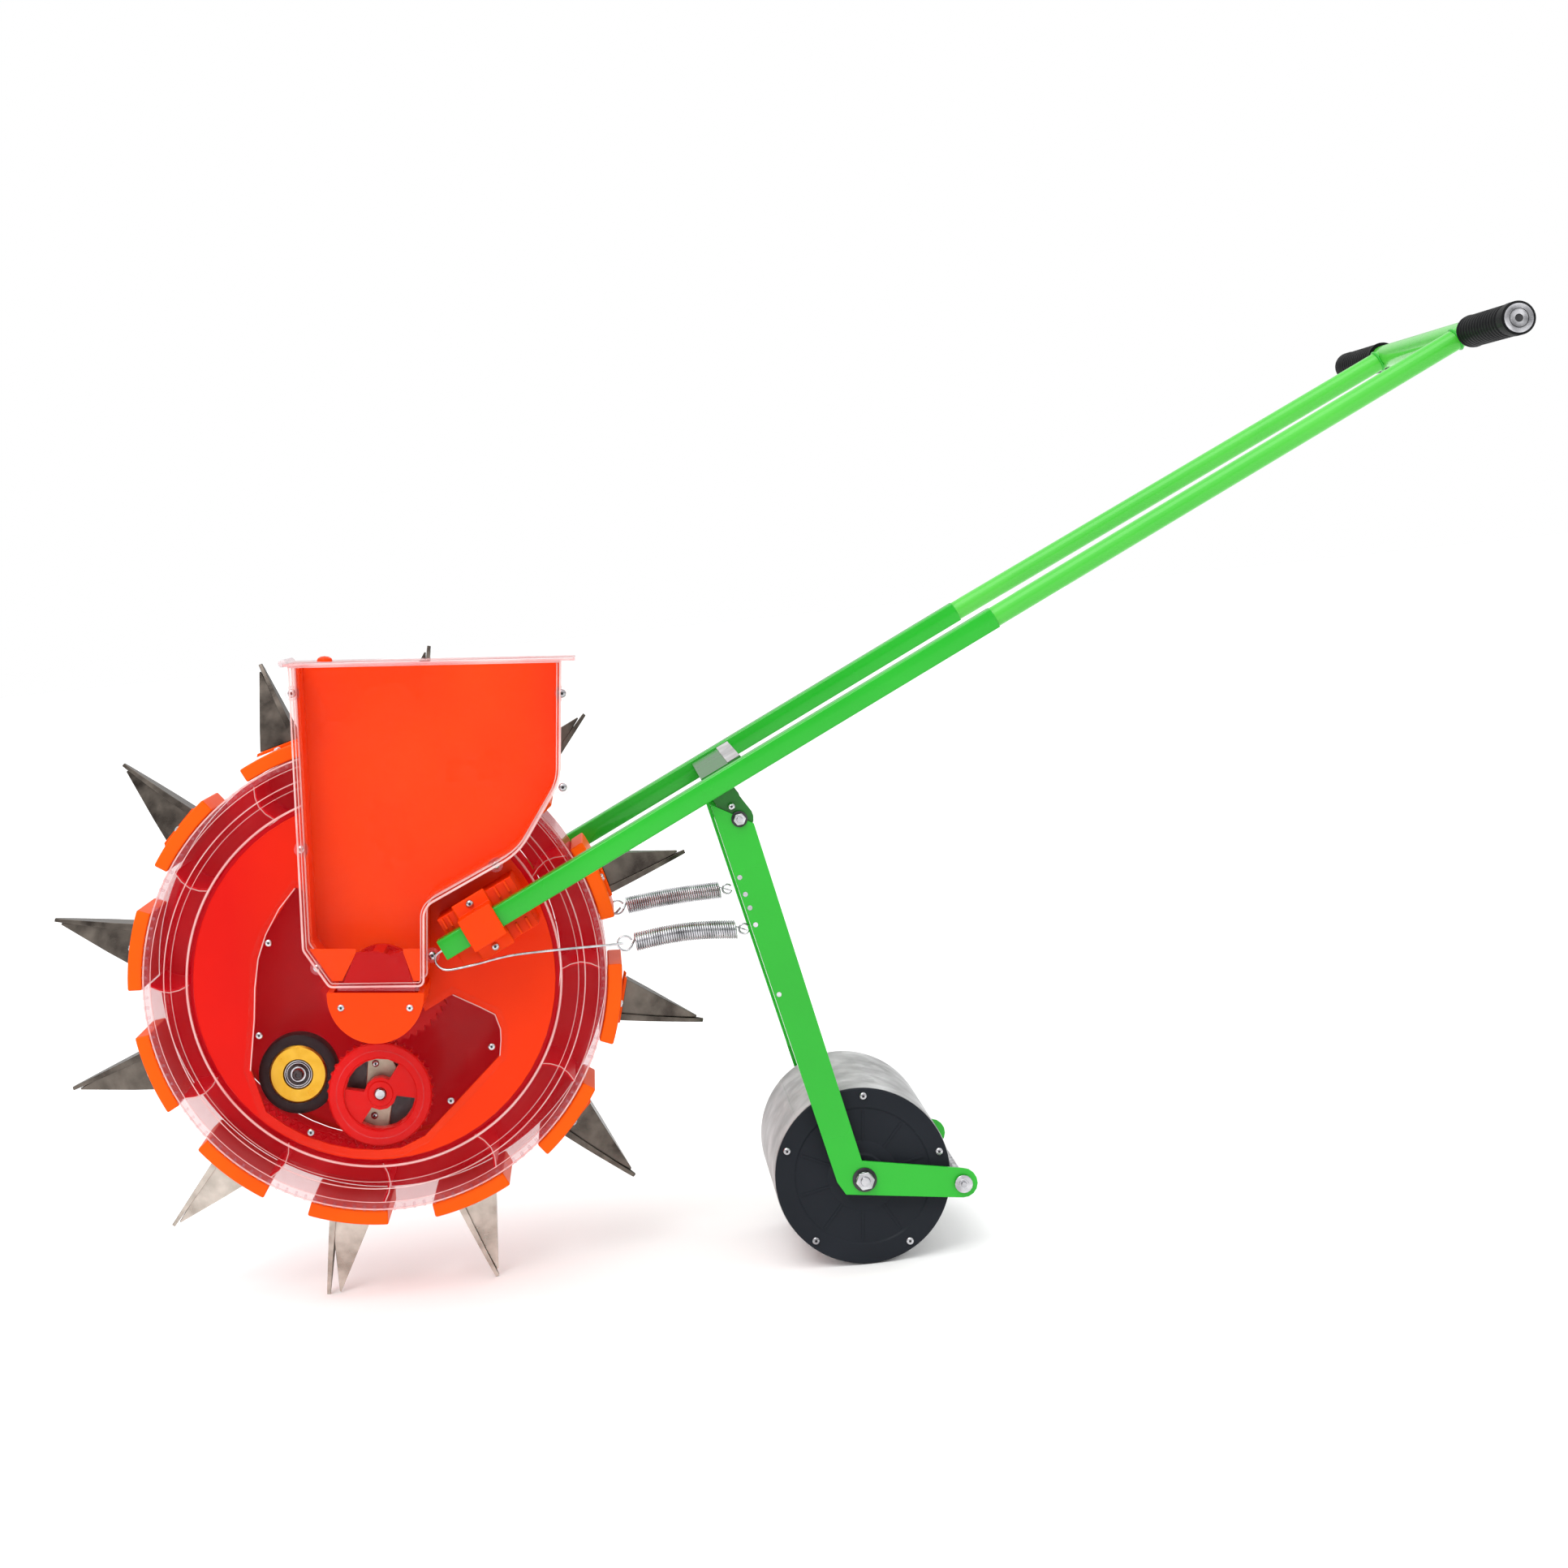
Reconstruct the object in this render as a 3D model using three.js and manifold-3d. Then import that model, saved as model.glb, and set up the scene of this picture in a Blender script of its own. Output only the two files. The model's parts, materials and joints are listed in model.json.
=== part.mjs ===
// Hand-pushed rotary seeder: a ring of duckbill mouths turns round a fixed centre that carries the
// hopper, the metering rotor and the handle, and a sprung press roller follows behind.
//
// Everything is laid out in a level frame: origin on the wheel axle, +X towards the handle (rear),
// +Y to the far side, +Z up. The finished machine is then tipped by STANDING_TILT, so that it
// stands on two mouths and the roller, and its origin is moved to the floor below its middle.
import * as THREE from 'three';
import { mergeVertices } from 'three/addons/utils/BufferGeometryUtils.js';
import Module from 'manifold-3d';

const wasm = await Module();
wasm.setup();

// ---------------------------------------------------------------- driving dimensions (mm, degrees)
const STANDING_TILT = 6;
const GAP = 0.3;                      // room kept between neighbouring pieces

const MOUTHS = 12;
const FIRST_MOUTH = 21;               // angle of mouth 1 in the level frame
const TIP_RADIUS = 305;
const RIM = { inner: 206, outer: 212, halfWidth: 46 };
const RING_PLATE = { lip: 168.6, lipOuter: 172, nearFace: 50, lipFace: 56 };
const RING_SEGMENTS = 60;
const PAD = { outer: 226, from: -7, to: 12.4, halfWidth: 48 };
const PARTITION_OFFSET = 11.5;        // partitions stand this far after each mouth
const BLADE = { root: -9.5, lipDepth: 5.5, sheet: 1.6 };
const FLAP = { hingeAngle: 7.5, hingeRadius: 228, length: 70, sheet: 1.5, play: 1.5 };
const OPEN_FLAP = { mouth: 9, angle: 6 };

const MODULE = 2.5;
const RING_TEETH = 124;
const IDLER_TEETH = 38;
const ROTOR_TEETH = 48;
const GEAR_NEAR = -40;
const GEAR_FAR = -28;
const ROTOR_AXIS = [9, 0];
const IDLER_AXIS = [4.5, -107.4];
const RAIL = { radius: 155.3, near: -25, far: 1 };
const GUIDE = { radius: 36.8, orbit: 118, angles: [232, 112, 10], near: -24, far: 0, bore: 5.5 };
const STUD_RADIUS = 5;

const SIDE_PLATE = { radius: 165, inner: 51, outer: 54 };
const COVER = { near: -58.3, far: -54.3, margin: 6 };

const HOPPER = { near: -150, split: -100, back: -61, wall: 3 };
const HOPPER_OUTLINE = [
  [-67, 286], [-54, 39], [-31, 7], [51, 8], [51, 66], [53, 75], [59, 83],
  [124, 118.5], [138, 128], [150, 140], [159.5, 155], [166, 173], [169, 194], [170, 291],
];
const LID = { front: -72, rear: 184, thickness: 3, hinge: [-73.5, 289], barrel: 3.4 };
const ROTOR = { radius: 34, near: -144, far: -69, shaft: 6, pockets: 10 };
const CUP = { outer: 42.5, inner: 36.8, near: -149.5, far: -64.3, wall: 3, top: 2 };

const ARM = { start: [66, 34], angle: 31.1, y: 113, half: 9.5, wall: 1, length: 570 };
const ARM_RISE = { near: 0.7, far: 4.5 };
const HANDLE_TUBE = { radius: 9.3, bore: 6.4, spigot: 7.6, inserted: 40, end: 1060 };
const BAR = { radius: 11, bore: 9.5, half: 240 };
const GRIP = { from: 127, to: 242, radius: 14.5, waist: 13.4 };
const PEDESTAL = { from: 8, to: 84, half: 25, face: 103.4, wall: 3 };
const CLAMP = { from: 25, to: 58, ear: 28, outer: 128.5 };
const CROSS = { from: 274, to: 315, top: 11, sheet: 3, y: 103.1 };

const PIVOT = [329, 150];
const ROLLER_AXLE = [440.4, -170.5];
const ROLLER = { radius: 79, wall: 2.5, half: 90 };
const PRESS = { inner: 104, outer: 107, flangeDepth: 24, footTip: [528, -173.5], footHalf: 13 };
const SPRING = { radius: 8.5, wire: 1.2, y: 95, near: [[237, 39], [327, 50]], far: [[232, 48], [322, 63]] };
const HOOK_WIRE = 1.1;

// ---------------------------------------------------------------- materials
const paint = (colour, roughness, metalness = 0, opacity = 1) =>
  new THREE.MeshStandardMaterial({ color: colour, roughness, metalness, opacity, transparent: opacity < 1 });
const ORANGE = [0xff4b12, 0.4];
const CLEAR = [0xf3d6d2, 0.12, 0, 0.35];
const DARK_RED = [0xb00a14, 0.35];
const RED = [0xd81414, 0.35];
const GREEN = [0x3cd23c, 0.35];
const STEEL = [0x8c8780, 0.4, 1];
const ZINC = [0xb4b4b2, 0.45, 1];
const BLACK = [0x262a30, 0.6];
const BRIGHT = [0xc8c8cc, 0.25, 1];

// ---------------------------------------------------------------- shape helpers
const rad = THREE.MathUtils.degToRad;
const polar = (r, degrees, centre = [0, 0]) =>
  [centre[0] + r * Math.cos(rad(degrees)), centre[1] + r * Math.sin(rad(degrees))];

/** Points along an arc, both ends included. */
function arc(r, from, to, steps, centre = [0, 0]) {
  return Array.from({ length: steps + 1 }, (_, i) => polar(r, from + ((to - from) * i) / steps, centre));
}

const circle = (r, steps, centre = [0, 0]) => arc(r, 0, 360 - 360 / steps, steps - 1, centre);

/** A side outline of [x, z] points as a solid geometry between two Y planes. */
function slab(points, yNear, yFar) {
  const shape = new THREE.Shape(points.map(([x, z]) => new THREE.Vector2(x, z)));
  const geometry = new THREE.ExtrudeGeometry(shape, { depth: yFar - yNear, bevelEnabled: false });
  return geometry.rotateX(Math.PI / 2).translate(0, yFar, 0);
}

/** A closed [radius, y] profile turned about the Y axis through [x, z]. */
function turned(profile, segments, [x, z] = [0, 0]) {
  const points = profile.map(([r, y]) => new THREE.Vector2(r, y));
  if (profile[0][0] > 0) points.push(points[0].clone());
  return new THREE.LatheGeometry(points, segments).translate(x, 0, z);
}

const rod = (r, yNear, yFar, segments, at) =>
  turned([[0, yNear], [r, yNear], [r, yFar], [0, yFar]], segments, at);

function box(x0, x1, y0, y1, z0, z1) {
  return new THREE.BoxGeometry(x1 - x0, y1 - y0, z1 - z0)
    .translate((x0 + x1) / 2, (y0 + y1) / 2, (z0 + z1) / 2);
}

/** A geometry as a manifold solid: shared vertices, no flat triangles, faces pointing out. */
function solid(geometry) {
  geometry.deleteAttribute('normal');
  geometry.deleteAttribute('uv');
  const merged = mergeVertices(geometry, 1e-4);
  const p = merged.attributes.position.array;
  const index = merged.index.array;
  const corner = (i) => new THREE.Vector3(p[3 * i], p[3 * i + 1], p[3 * i + 2]);
  const faces = [];
  let volume = 0;
  for (let i = 0; i < index.length; i += 3) {
    const [a, b, c] = [index[i], index[i + 1], index[i + 2]];
    if (a === b || b === c || c === a) continue;
    faces.push([a, b, c]);
    volume += corner(a).dot(corner(b).cross(corner(c)));
  }
  const outward = volume > 0 ? faces : faces.map(([a, b, c]) => [a, c, b]);
  const mesh = new wasm.Mesh({ numProp: 3, vertProperties: p, triVerts: new Uint32Array(outward.flat()) });
  return new wasm.Manifold(mesh);
}

const join = (...geometries) => geometries.map(solid).reduce((a, b) => a.add(b));
const cut = (body, ...geometries) => geometries.map(solid).reduce((a, b) => a.subtract(b), body);

/** A manifold solid back as a geometry, mirrored to the far side if asked. */
function geometryOf(body, mirrored = false) {
  const { vertProperties, triVerts } = body.getMesh();
  const geometry = new THREE.BufferGeometry();
  geometry.setAttribute('position', new THREE.BufferAttribute(new Float32Array(vertProperties), 3));
  const index = Array.from(triVerts);
  if (mirrored) {
    geometry.scale(1, -1, 1);
    for (let i = 0; i < index.length; i += 3) [index[i], index[i + 1]] = [index[i + 1], index[i]];
  }
  geometry.setIndex(index);
  geometry.computeVertexNormals();
  return geometry;
}

/** A polygon whose edges are moved inwards by a distance; its points run anticlockwise. */
function inset(points, distance) {
  const n = points.length;
  const edges = points.map((p, i) => {
    const q = points[(i + 1) % n];
    const length = Math.hypot(q[0] - p[0], q[1] - p[1]);
    const normal = [-(q[1] - p[1]) / length, (q[0] - p[0]) / length];
    return { at: [p[0] + normal[0] * distance, p[1] + normal[1] * distance], run: [q[0] - p[0], q[1] - p[1]] };
  });
  return edges.map((edge, i) => {
    const last = edges[(i + n - 1) % n];
    const cross = last.run[0] * edge.run[1] - last.run[1] * edge.run[0];
    const t = ((edge.at[0] - last.at[0]) * edge.run[1] - (edge.at[1] - last.at[1]) * edge.run[0]) / cross;
    return [last.at[0] + last.run[0] * t, last.at[1] + last.run[1] * t];
  });
}

/** Moves a geometry drawn in an arm's own frame (+X along it, +Z across it) into the level frame. */
const onArm = (geometry) => geometry.rotateY(-rad(ARM.angle)).translate(ARM.start[0], 0, ARM.start[1]);

// ---------------------------------------------------------------- assembly
const level = new THREE.Group();

function addPart(name, body, material, { mirrored = false, group = level } = {}) {
  const mesh = new THREE.Mesh(geometryOf(body, mirrored), paint(...material));
  mesh.name = name;
  group.add(mesh);
  return mesh;
}

function addPair(name, body, material) {
  addPart(`${name}_near`, body, material);
  addPart(`${name}_far`, body, material, { mirrored: true });
}

// ---------------------------------------------------------------- seed wheel
/** Outer band of the seed ring, with a seed hole and a partition for each mouth. */
function ringRim() {
  const { inner, outer, halfWidth } = RIM;
  const band = [[inner, -halfWidth], [outer, -halfWidth], [outer, halfWidth], [inner, halfWidth]];
  let rim = solid(turned(band.map(([r, y]) => [r, y * 0.994]), RING_SEGMENTS));
  for (let i = 0; i < MOUTHS; i++) {
    const angle = FIRST_MOUTH + (360 / MOUTHS) * i;
    const partition = box(RING_PLATE.lip + 0.4, inner + 2, -halfWidth + 0.6, halfWidth - 0.6, -1.5, 1.5);
    rim = rim.add(solid(partition.rotateY(-rad(angle + PARTITION_OFFSET))));
    rim = rim.subtract(solid(box(inner - 5, outer + 5, -11, 11, -4, 24).rotateY(-rad(angle))));
  }
  return rim;
}

/** Clear side of the seed ring on the near side, with a lip round the fixed side plate. */
function ringPlate() {
  const { lip, lipOuter, nearFace, lipFace } = RING_PLATE;
  const back = -RIM.halfWidth - GAP;
  return solid(turned([
    [lip, back], [lip, -lipFace], [lipOuter, -lipFace], [lipOuter, -nearFace],
    [RIM.outer, -nearFace], [RIM.outer, back],
  ], RING_SEGMENTS));
}

/** Pointed teeth round a circle; the first tooth's middle is at the phase angle. */
function gearOutline(teeth, phase, inward = false) {
  const pitchRadius = (MODULE * teeth) / 2;
  const side = inward ? -1 : 1;
  const [root, tip] = [-1.2, 0.7].map((height) => pitchRadius + side * height * MODULE);
  const pitch = 360 / teeth;
  return Array.from({ length: teeth }, (_, i) => phase + i * pitch)
    .flatMap((middle) => [polar(root, middle - pitch / 2), polar(tip, middle)]);
}

const angleOf = ([x, z]) => THREE.MathUtils.radToDeg(Math.atan2(z, x));
const MESH_ANGLE = angleOf(IDLER_AXIS);

/** Inner wall of the ring, with the rail for the guide wheels and the internal gear. */
function ringGear() {
  const wall = [RING_PLATE.lip - GAP - 4, RING_PLATE.lip - GAP];
  const half = RIM.halfWidth - 0.2;
  const band = turned([
    [wall[1], -half], [wall[1], half], [wall[0], half], [wall[0], RAIL.far], [RAIL.radius, RAIL.far],
    [RAIL.radius, RAIL.near], [wall[0], RAIL.near], [wall[0], -half],
  ], RING_SEGMENTS);
  const teeth = gearOutline(RING_TEETH, MESH_ANGLE + 180 / RING_TEETH, true);
  const blank = solid(rod(wall[1] - 1, GEAR_NEAR, GEAR_FAR, RING_SEGMENTS));
  return solid(band).add(cut(blank, slab(teeth, GEAR_NEAR - 1, GEAR_FAR + 1)));
}

/** Width of a mouth across the machine: an outline of [radius, half width] points, as a cutter. */
function mouthTaper(shrink) {
  const half = [[216, 15], [250, 14], [297, 5], [308, 3]].map(([r, w]) => [r, Math.max(w - shrink, 0.5)]);
  const outline = [...half, ...half.toReversed().map(([r, w]) => [r, -w])];
  const shape = new THREE.Shape(outline.map(([r, w]) => new THREE.Vector2(r, w)));
  return new THREE.ExtrudeGeometry(shape, { depth: 100, bevelEnabled: false }).translate(0, 0, -50);
}

/** Pad on the rim with the fixed half of the duckbill; drawn for a mouth that points along +X. */
function duckbill() {
  const { root, lipDepth, sheet } = BLADE;
  const inner = RIM.outer + GAP + 0.2;
  const padOutline = [...arc(PAD.outer, PAD.from, PAD.to, 4), ...arc(inner, PAD.to, PAD.from, 4)];
  const pad = cut(solid(slab(padOutline, -PAD.halfWidth, PAD.halfWidth)), box(200, 240, -11, 11, -4, 24));
  const side = [[220, root - 0.5], [TIP_RADIUS, -0.6], [TIP_RADIUS, 0.8], [290, 3], [220, root + lipDepth + 3]];
  const trough = [[215, root + sheet - 0.8], [TIP_RADIUS + 5, 0.9 + sheet], [300, 20], [215, 20]];
  const blade = cut(
    solid(slab(side, -20, 20)).intersect(solid(mouthTaper(0))),
    geometryOf(solid(slab(trough, -20, 20)).intersect(solid(mouthTaper(sheet)))),
  );
  return pad.add(blade);
}

/** Moving half of the duckbill, a tapered channel hinged on the pad; drawn closed along +X. */
function flap() {
  const { length, sheet, play } = FLAP;
  const base = PAD.outer + 2.5;
  const tip = base + length;
  const hingeSide = FLAP.hingeRadius * Math.sin(rad(FLAP.hingeAngle));
  const side = [[base, BLADE.root + BLADE.sheet + 1.6], [tip, 3.2], [tip, 4.6], [base, hingeSide - 0.6]];
  const hollow = [[base - 5, -30], [tip - 6, -30], [tip - 6, 3.4], [base - 5, hingeSide - 0.8]];
  return cut(
    solid(slab(side, -20, 20)).intersect(solid(mouthTaper(BLADE.sheet + play))),
    geometryOf(solid(slab(hollow, -20, 20)).intersect(solid(mouthTaper(BLADE.sheet + play + sheet)))),
  );
}

addPart('ring_rim', ringRim(), CLEAR);
addPart('ring_near', ringPlate(), CLEAR);
addPart('ring_far', ringPlate(), DARK_RED, { mirrored: true });
addPart('ring_gear', ringGear(), DARK_RED);

const flapHinge = polar(FLAP.hingeRadius, FLAP.hingeAngle);
for (let i = 0; i < MOUTHS; i++) {
  const number = String(i + 1).padStart(2, '0');
  const mouth = new THREE.Group();
  mouth.rotation.y = -rad(FIRST_MOUTH + (360 / MOUTHS) * i);
  level.add(mouth);
  addPart(`duckbill_${number}`, duckbill(), ORANGE, { group: mouth });
  const hinge = new THREE.Group();
  hinge.position.set(flapHinge[0], 0, flapHinge[1]);
  hinge.rotation.y = i + 1 === OPEN_FLAP.mouth ? -rad(OPEN_FLAP.angle) : 0;
  mouth.add(hinge);
  const moving = addPart(`flap_${number}`, flap(), STEEL, { group: hinge });
  moving.position.set(-flapHinge[0], 0, -flapHinge[1]);
}

// ---------------------------------------------------------------- fixed centre and gear train
/** Window in the near side plate, over the gears; the clear cover closes it. */
const WINDOW = [
  [-71.6, 82.6], [-98.2, 40.5], [-106, 18.6], [-108, -37], [-112, -83],
  ...arc(156, 231, 279, 6), [46, -143],
  [114.4, -69.4], [115, -45], [110, -32], [71.6, -14], [46, -30], [30, 20], [-20, 62],
];

/** Hollow block on a side plate that an arm is clamped to. */
function pedestalOutline(margin) {
  const { from, to, half } = PEDESTAL;
  return [[from, -half], [to, -half], [to, half], [from, half]].map(([u, v]) =>
    [u + Math.sign((from + to) / 2 - u) * margin, v - Math.sign(v) * margin]);
}

function sidePlate(...extras) {
  const { radius, inner, outer } = SIDE_PLATE;
  const { face, wall } = PEDESTAL;
  const plate = join(
    slab(circle(radius, RING_SEGMENTS), -outer, -inner),
    onArm(slab(pedestalOutline(0), -face, -inner - 1)),
  );
  return cut(plate, onArm(slab(pedestalOutline(wall), -face + wall, -inner + 1)), ...extras);
}

/** Far side plate with the long studs that carry the guide wheels and the idler. */
function farPlateWithStuds() {
  const studs = GUIDE.angles.map((angle, i) => {
    const reach = i === 0 ? GUIDE.near - 3 : -SIDE_PLATE.inner + GAP;
    return rod(STUD_RADIUS, -SIDE_PLATE.inner - 1, -reach, 12, polar(GUIDE.orbit, angle));
  });
  studs.push(rod(STUD_RADIUS, -SIDE_PLATE.inner - 1, -GEAR_NEAR + 3, 12, IDLER_AXIS));
  return studs.map(solid).reduce((plate, stud) => plate.add(stud), sidePlate());
}

function mechanismCover() {
  const coverOutline = inset(WINDOW, -COVER.margin);
  const limit = rod(SIDE_PLATE.radius - 1, COVER.near - 1, COVER.far + 1, RING_SEGMENTS);
  const plate = solid(slab(coverOutline, COVER.near, COVER.far)).intersect(solid(limit));
  return cut(plate, rod(ROTOR.shaft + 2, COVER.near - 1, COVER.far + 1, 16, ROTOR_AXIS));
}

/** Red idler between the ring gear and the rotor gear, with two kidney windows. */
function idlerGear() {
  const teeth = gearOutline(IDLER_TEETH, MESH_ANGLE);
  const windows = [58, 238].map((from) =>
    slab([...arc(32, from, from + 115, 6), ...arc(15, from + 115, from, 4)], GEAR_NEAR - 1, GEAR_FAR + 1));
  const hub = rod(12, GEAR_NEAR, GEAR_FAR + 6, 16);
  return cut(join(slab(teeth, GEAR_NEAR, GEAR_FAR), hub), ...windows,
    rod(STUD_RADIUS + 0.5, GEAR_NEAR - 1, GEAR_FAR + 7, 16));
}

/** Phase that puts a gap of the rotor gear over the idler's tooth at their meeting line. */
function rotorPhase() {
  const line = angleOf([ROTOR_AXIS[0] - IDLER_AXIS[0], ROTOR_AXIS[1] - IDLER_AXIS[1]]);
  const pitch = 360 / IDLER_TEETH;
  const pastTooth = (((line - MESH_ANGLE) % pitch) + pitch) % pitch;
  return line + 180 + (pastTooth * IDLER_TEETH) / ROTOR_TEETH + 180 / ROTOR_TEETH;
}

/** Pocketed seed roller, its shaft and its gear in one piece. */
function meteringRotor() {
  const { radius, near, far, shaft, pockets } = ROTOR;
  const pocket = (i) => rod(6, near + 8, far - 8, 8, polar(radius + 1.5, (360 / pockets) * i));
  const roller = cut(solid(rod(radius, near, far, 40)), ...Array.from({ length: pockets }, (_, i) => pocket(i)));
  const gear = slab(gearOutline(ROTOR_TEETH, rotorPhase()), GEAR_NEAR, GEAR_FAR);
  return roller.add(join(rod(shaft, near + 5, SIDE_PLATE.inner - GAP, 16), gear));
}

function guideWheel() {
  const { radius, near, far, bore } = GUIDE;
  return solid(turned([
    [bore, near + 2], [13, near + 2], [13, near + 4], [24, near + 4], [26, near], [radius - 3, near],
    [radius, near + 3], [radius, far - 3], [radius - 3, far], [bore, far],
  ], 28));
}

addPart('side_plate_near', sidePlate(slab(WINDOW, -SIDE_PLATE.outer - 1, -SIDE_PLATE.inner + 1)), ORANGE);
addPart('side_plate_far', farPlateWithStuds(), ORANGE, { mirrored: true });
addPart('mechanism_cover', mechanismCover(), CLEAR);
addPart('metering_rotor', meteringRotor(), DARK_RED).position.set(ROTOR_AXIS[0], 0, ROTOR_AXIS[1]);
addPart('idler_gear', idlerGear(), RED).position.set(IDLER_AXIS[0], 0, IDLER_AXIS[1]);
GUIDE.angles.forEach((angle, i) => {
  const [x, z] = polar(GUIDE.orbit, angle);
  addPart(`guide_wheel_${i + 1}`, guideWheel(), BLACK).position.set(x, 0, z);
});

// ---------------------------------------------------------------- hopper and metering cup
/** A tray with the hopper's outline, open at the top, with its closed face on one side. */
function hopperTray(yNear, yFar, faceNear, faceFar) {
  const hollow = inset(HOPPER_OUTLINE, HOPPER.wall);
  const lifted = hollow.map(([x, z]) => [x, z > 250 ? z + 12 : z]);
  const rotorRoom = box(ROTOR_AXIS[0] - 36.5, ROTOR_AXIS[0] + 36.5, CUP.near + 5, CUP.far - GAP, -12, 15);
  return cut(
    solid(slab(HOPPER_OUTLINE, yNear, yFar)),
    slab(lifted, faceNear, faceFar),
    rotorRoom,
    rod(ROTOR.shaft + 1.5, HOPPER.split, HOPPER.back + 1, 16, ROTOR_AXIS),
  );
}

function hopperLid() {
  const [, frontTop] = HOPPER_OUTLINE[0];
  const slope = (HOPPER_OUTLINE.at(-1)[1] - frontTop) / (HOPPER_OUTLINE.at(-1)[0] - HOPPER_OUTLINE[0][0]);
  const under = (x) => frontTop + slope * (x - HOPPER_OUTLINE[0][0]) + 0.5;
  const { front, rear, thickness, hinge, barrel } = LID;
  const plate = [
    [front, under(front)], [rear, under(rear)], [rear, under(rear) + thickness], [front, under(front) + thickness],
  ];
  return join(slab(plate, HOPPER.near - 2, HOPPER.back + 2), rod(barrel, HOPPER.near + 8, HOPPER.back - 8, 12, hinge));
}

/** Half-round cup under the hopper that holds the seeds against the rotor. */
function meteringCup() {
  const { outer, inner, near, far, wall, top } = CUP;
  const below = box(-60, 80, near, far, -60, top);
  const shell = solid(rod(outer, near, far, 40, ROTOR_AXIS)).intersect(solid(below));
  const outlet = box(ROTOR_AXIS[0] - 12, ROTOR_AXIS[0] + 12, far - 20, far - wall, -60, -20);
  return cut(shell, rod(inner, near + wall, far - wall, 40, ROTOR_AXIS),
    rod(ROTOR.shaft + 1, far - wall - 1, far + 1, 16, ROTOR_AXIS), outlet);
}

addPart('hopper_body', hopperTray(HOPPER.split + GAP, HOPPER.back, HOPPER.split - 5, HOPPER.back - 3), ORANGE);
addPart('hopper_front', hopperTray(HOPPER.near, HOPPER.split, HOPPER.near + 2.5, HOPPER.split + 5), CLEAR);
addPart('hopper_lid', hopperLid(), CLEAR);
addPart('metering_housing', meteringCup(), ORANGE);

// ---------------------------------------------------------------- handle
function lowerArm() {
  const { y, half, wall, length } = ARM;
  const bore = half - wall;
  return cut(solid(box(0, length, -y - half, -y + half, -half, half)),
    box(-1, length + 1, -y - bore, -y + bore, -bore, bore));
}

/** Two round tubes with spigots into the arms, welded to one straight bar; drawn in the arms' frame. */
function upperHandle() {
  const { radius, bore, spigot, inserted, end } = HANDLE_TUBE;
  const shoulder = ARM.length + GAP;
  const start = ARM.length - inserted;
  const tube = (r, from, to, side) => {
    const rise = side < 0 ? ARM_RISE.near : ARM_RISE.far;
    return new THREE.CylinderGeometry(r, r, to - from, 20).rotateZ(Math.PI / 2)
      .translate((from + to) / 2 - end, 0, 0).rotateY(Math.atan(rise / (end - ARM.length)))
      .translate(end, side * ARM.y, 0);
  };
  const bar = (r, half) => rod(r, -half, half, 20, [end, 0]);
  const sides = [-1, 1];
  const tubes = sides.flatMap((side) => [tube(radius, shoulder, end, side), tube(spigot, start, shoulder + 1, side)]);
  return cut(join(bar(BAR.radius, BAR.half), ...tubes), bar(BAR.bore, BAR.half + 1),
    ...sides.map((side) => tube(bore, start - 1, end, side)));
}

function grip() {
  const { from, to, radius, waist } = GRIP;
  const bore = BAR.radius + GAP;
  const end = BAR.half + GAP;
  return solid(turned([
    [0, -to], [radius - 1.5, -to], [radius, -to + 2], [radius, -to + 14], [waist, -to + 22],
    [waist, -from - 10], [radius, -from - 4], [radius, -from], [bore, -from], [bore, -end], [0, -end],
  ], 24, [HANDLE_TUBE.end, 0]));
}

/** Saddle over an arm: a U section run along the arm, with an ear on each side. */
function armClamp() {
  const { from, to, ear, outer } = CLAMP;
  const inside = ARM.half + 0.4;
  const foot = PEDESTAL.face + GAP + 0.3;
  const half = [[inside, -ARM.y - inside], [inside, -foot], [ear, -foot], [ear, -foot - 4], [15.7, -foot - 4],
    [15.7, -outer]];
  const outline = [...half, ...half.toReversed().map(([v, y]) => [-v, y])];
  const shape = new THREE.Shape(outline.map(([v, y]) => new THREE.Vector2(v, y)));
  const section = new THREE.ExtrudeGeometry(shape, { depth: to - from, bevelEnabled: false });
  const swapAxes = new THREE.Matrix4().set(0, 0, 1, from, 0, 1, 0, 0, 1, 0, 0, 0, 0, 0, 0, 1);
  return solid(section.applyMatrix4(swapAxes));
}

/** Folded plate between the arms, with two ears that carry the press frame's pivot bolt. */
function frameCrosspiece() {
  const { from, to, top, sheet, y } = CROSS;
  const reach = [PIVOT[0] - ARM.start[0], PIVOT[1] - ARM.start[1]];
  const turn = rad(ARM.angle);
  const pivot = [reach[0] * Math.cos(turn) + reach[1] * Math.sin(turn),
    reach[1] * Math.cos(turn) - reach[0] * Math.sin(turn)];
  const fold = [[from, top], [from, -12], [from + sheet, -12], [from + sheet, top - sheet], [to, top - sheet],
    [to, top]];
  const ear = [[from, top], [from, -12], ...arc(13, 200, 360, 8, pivot), [295, -12], [300, top]];
  const plate = join(slab(fold, -y, y), slab(ear, -y, -y + sheet + 0.5), slab(ear, y - sheet - 0.5, y));
  return cut(plate, rod(5.4, -y - 1, y + 1, 16, pivot));
}

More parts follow.
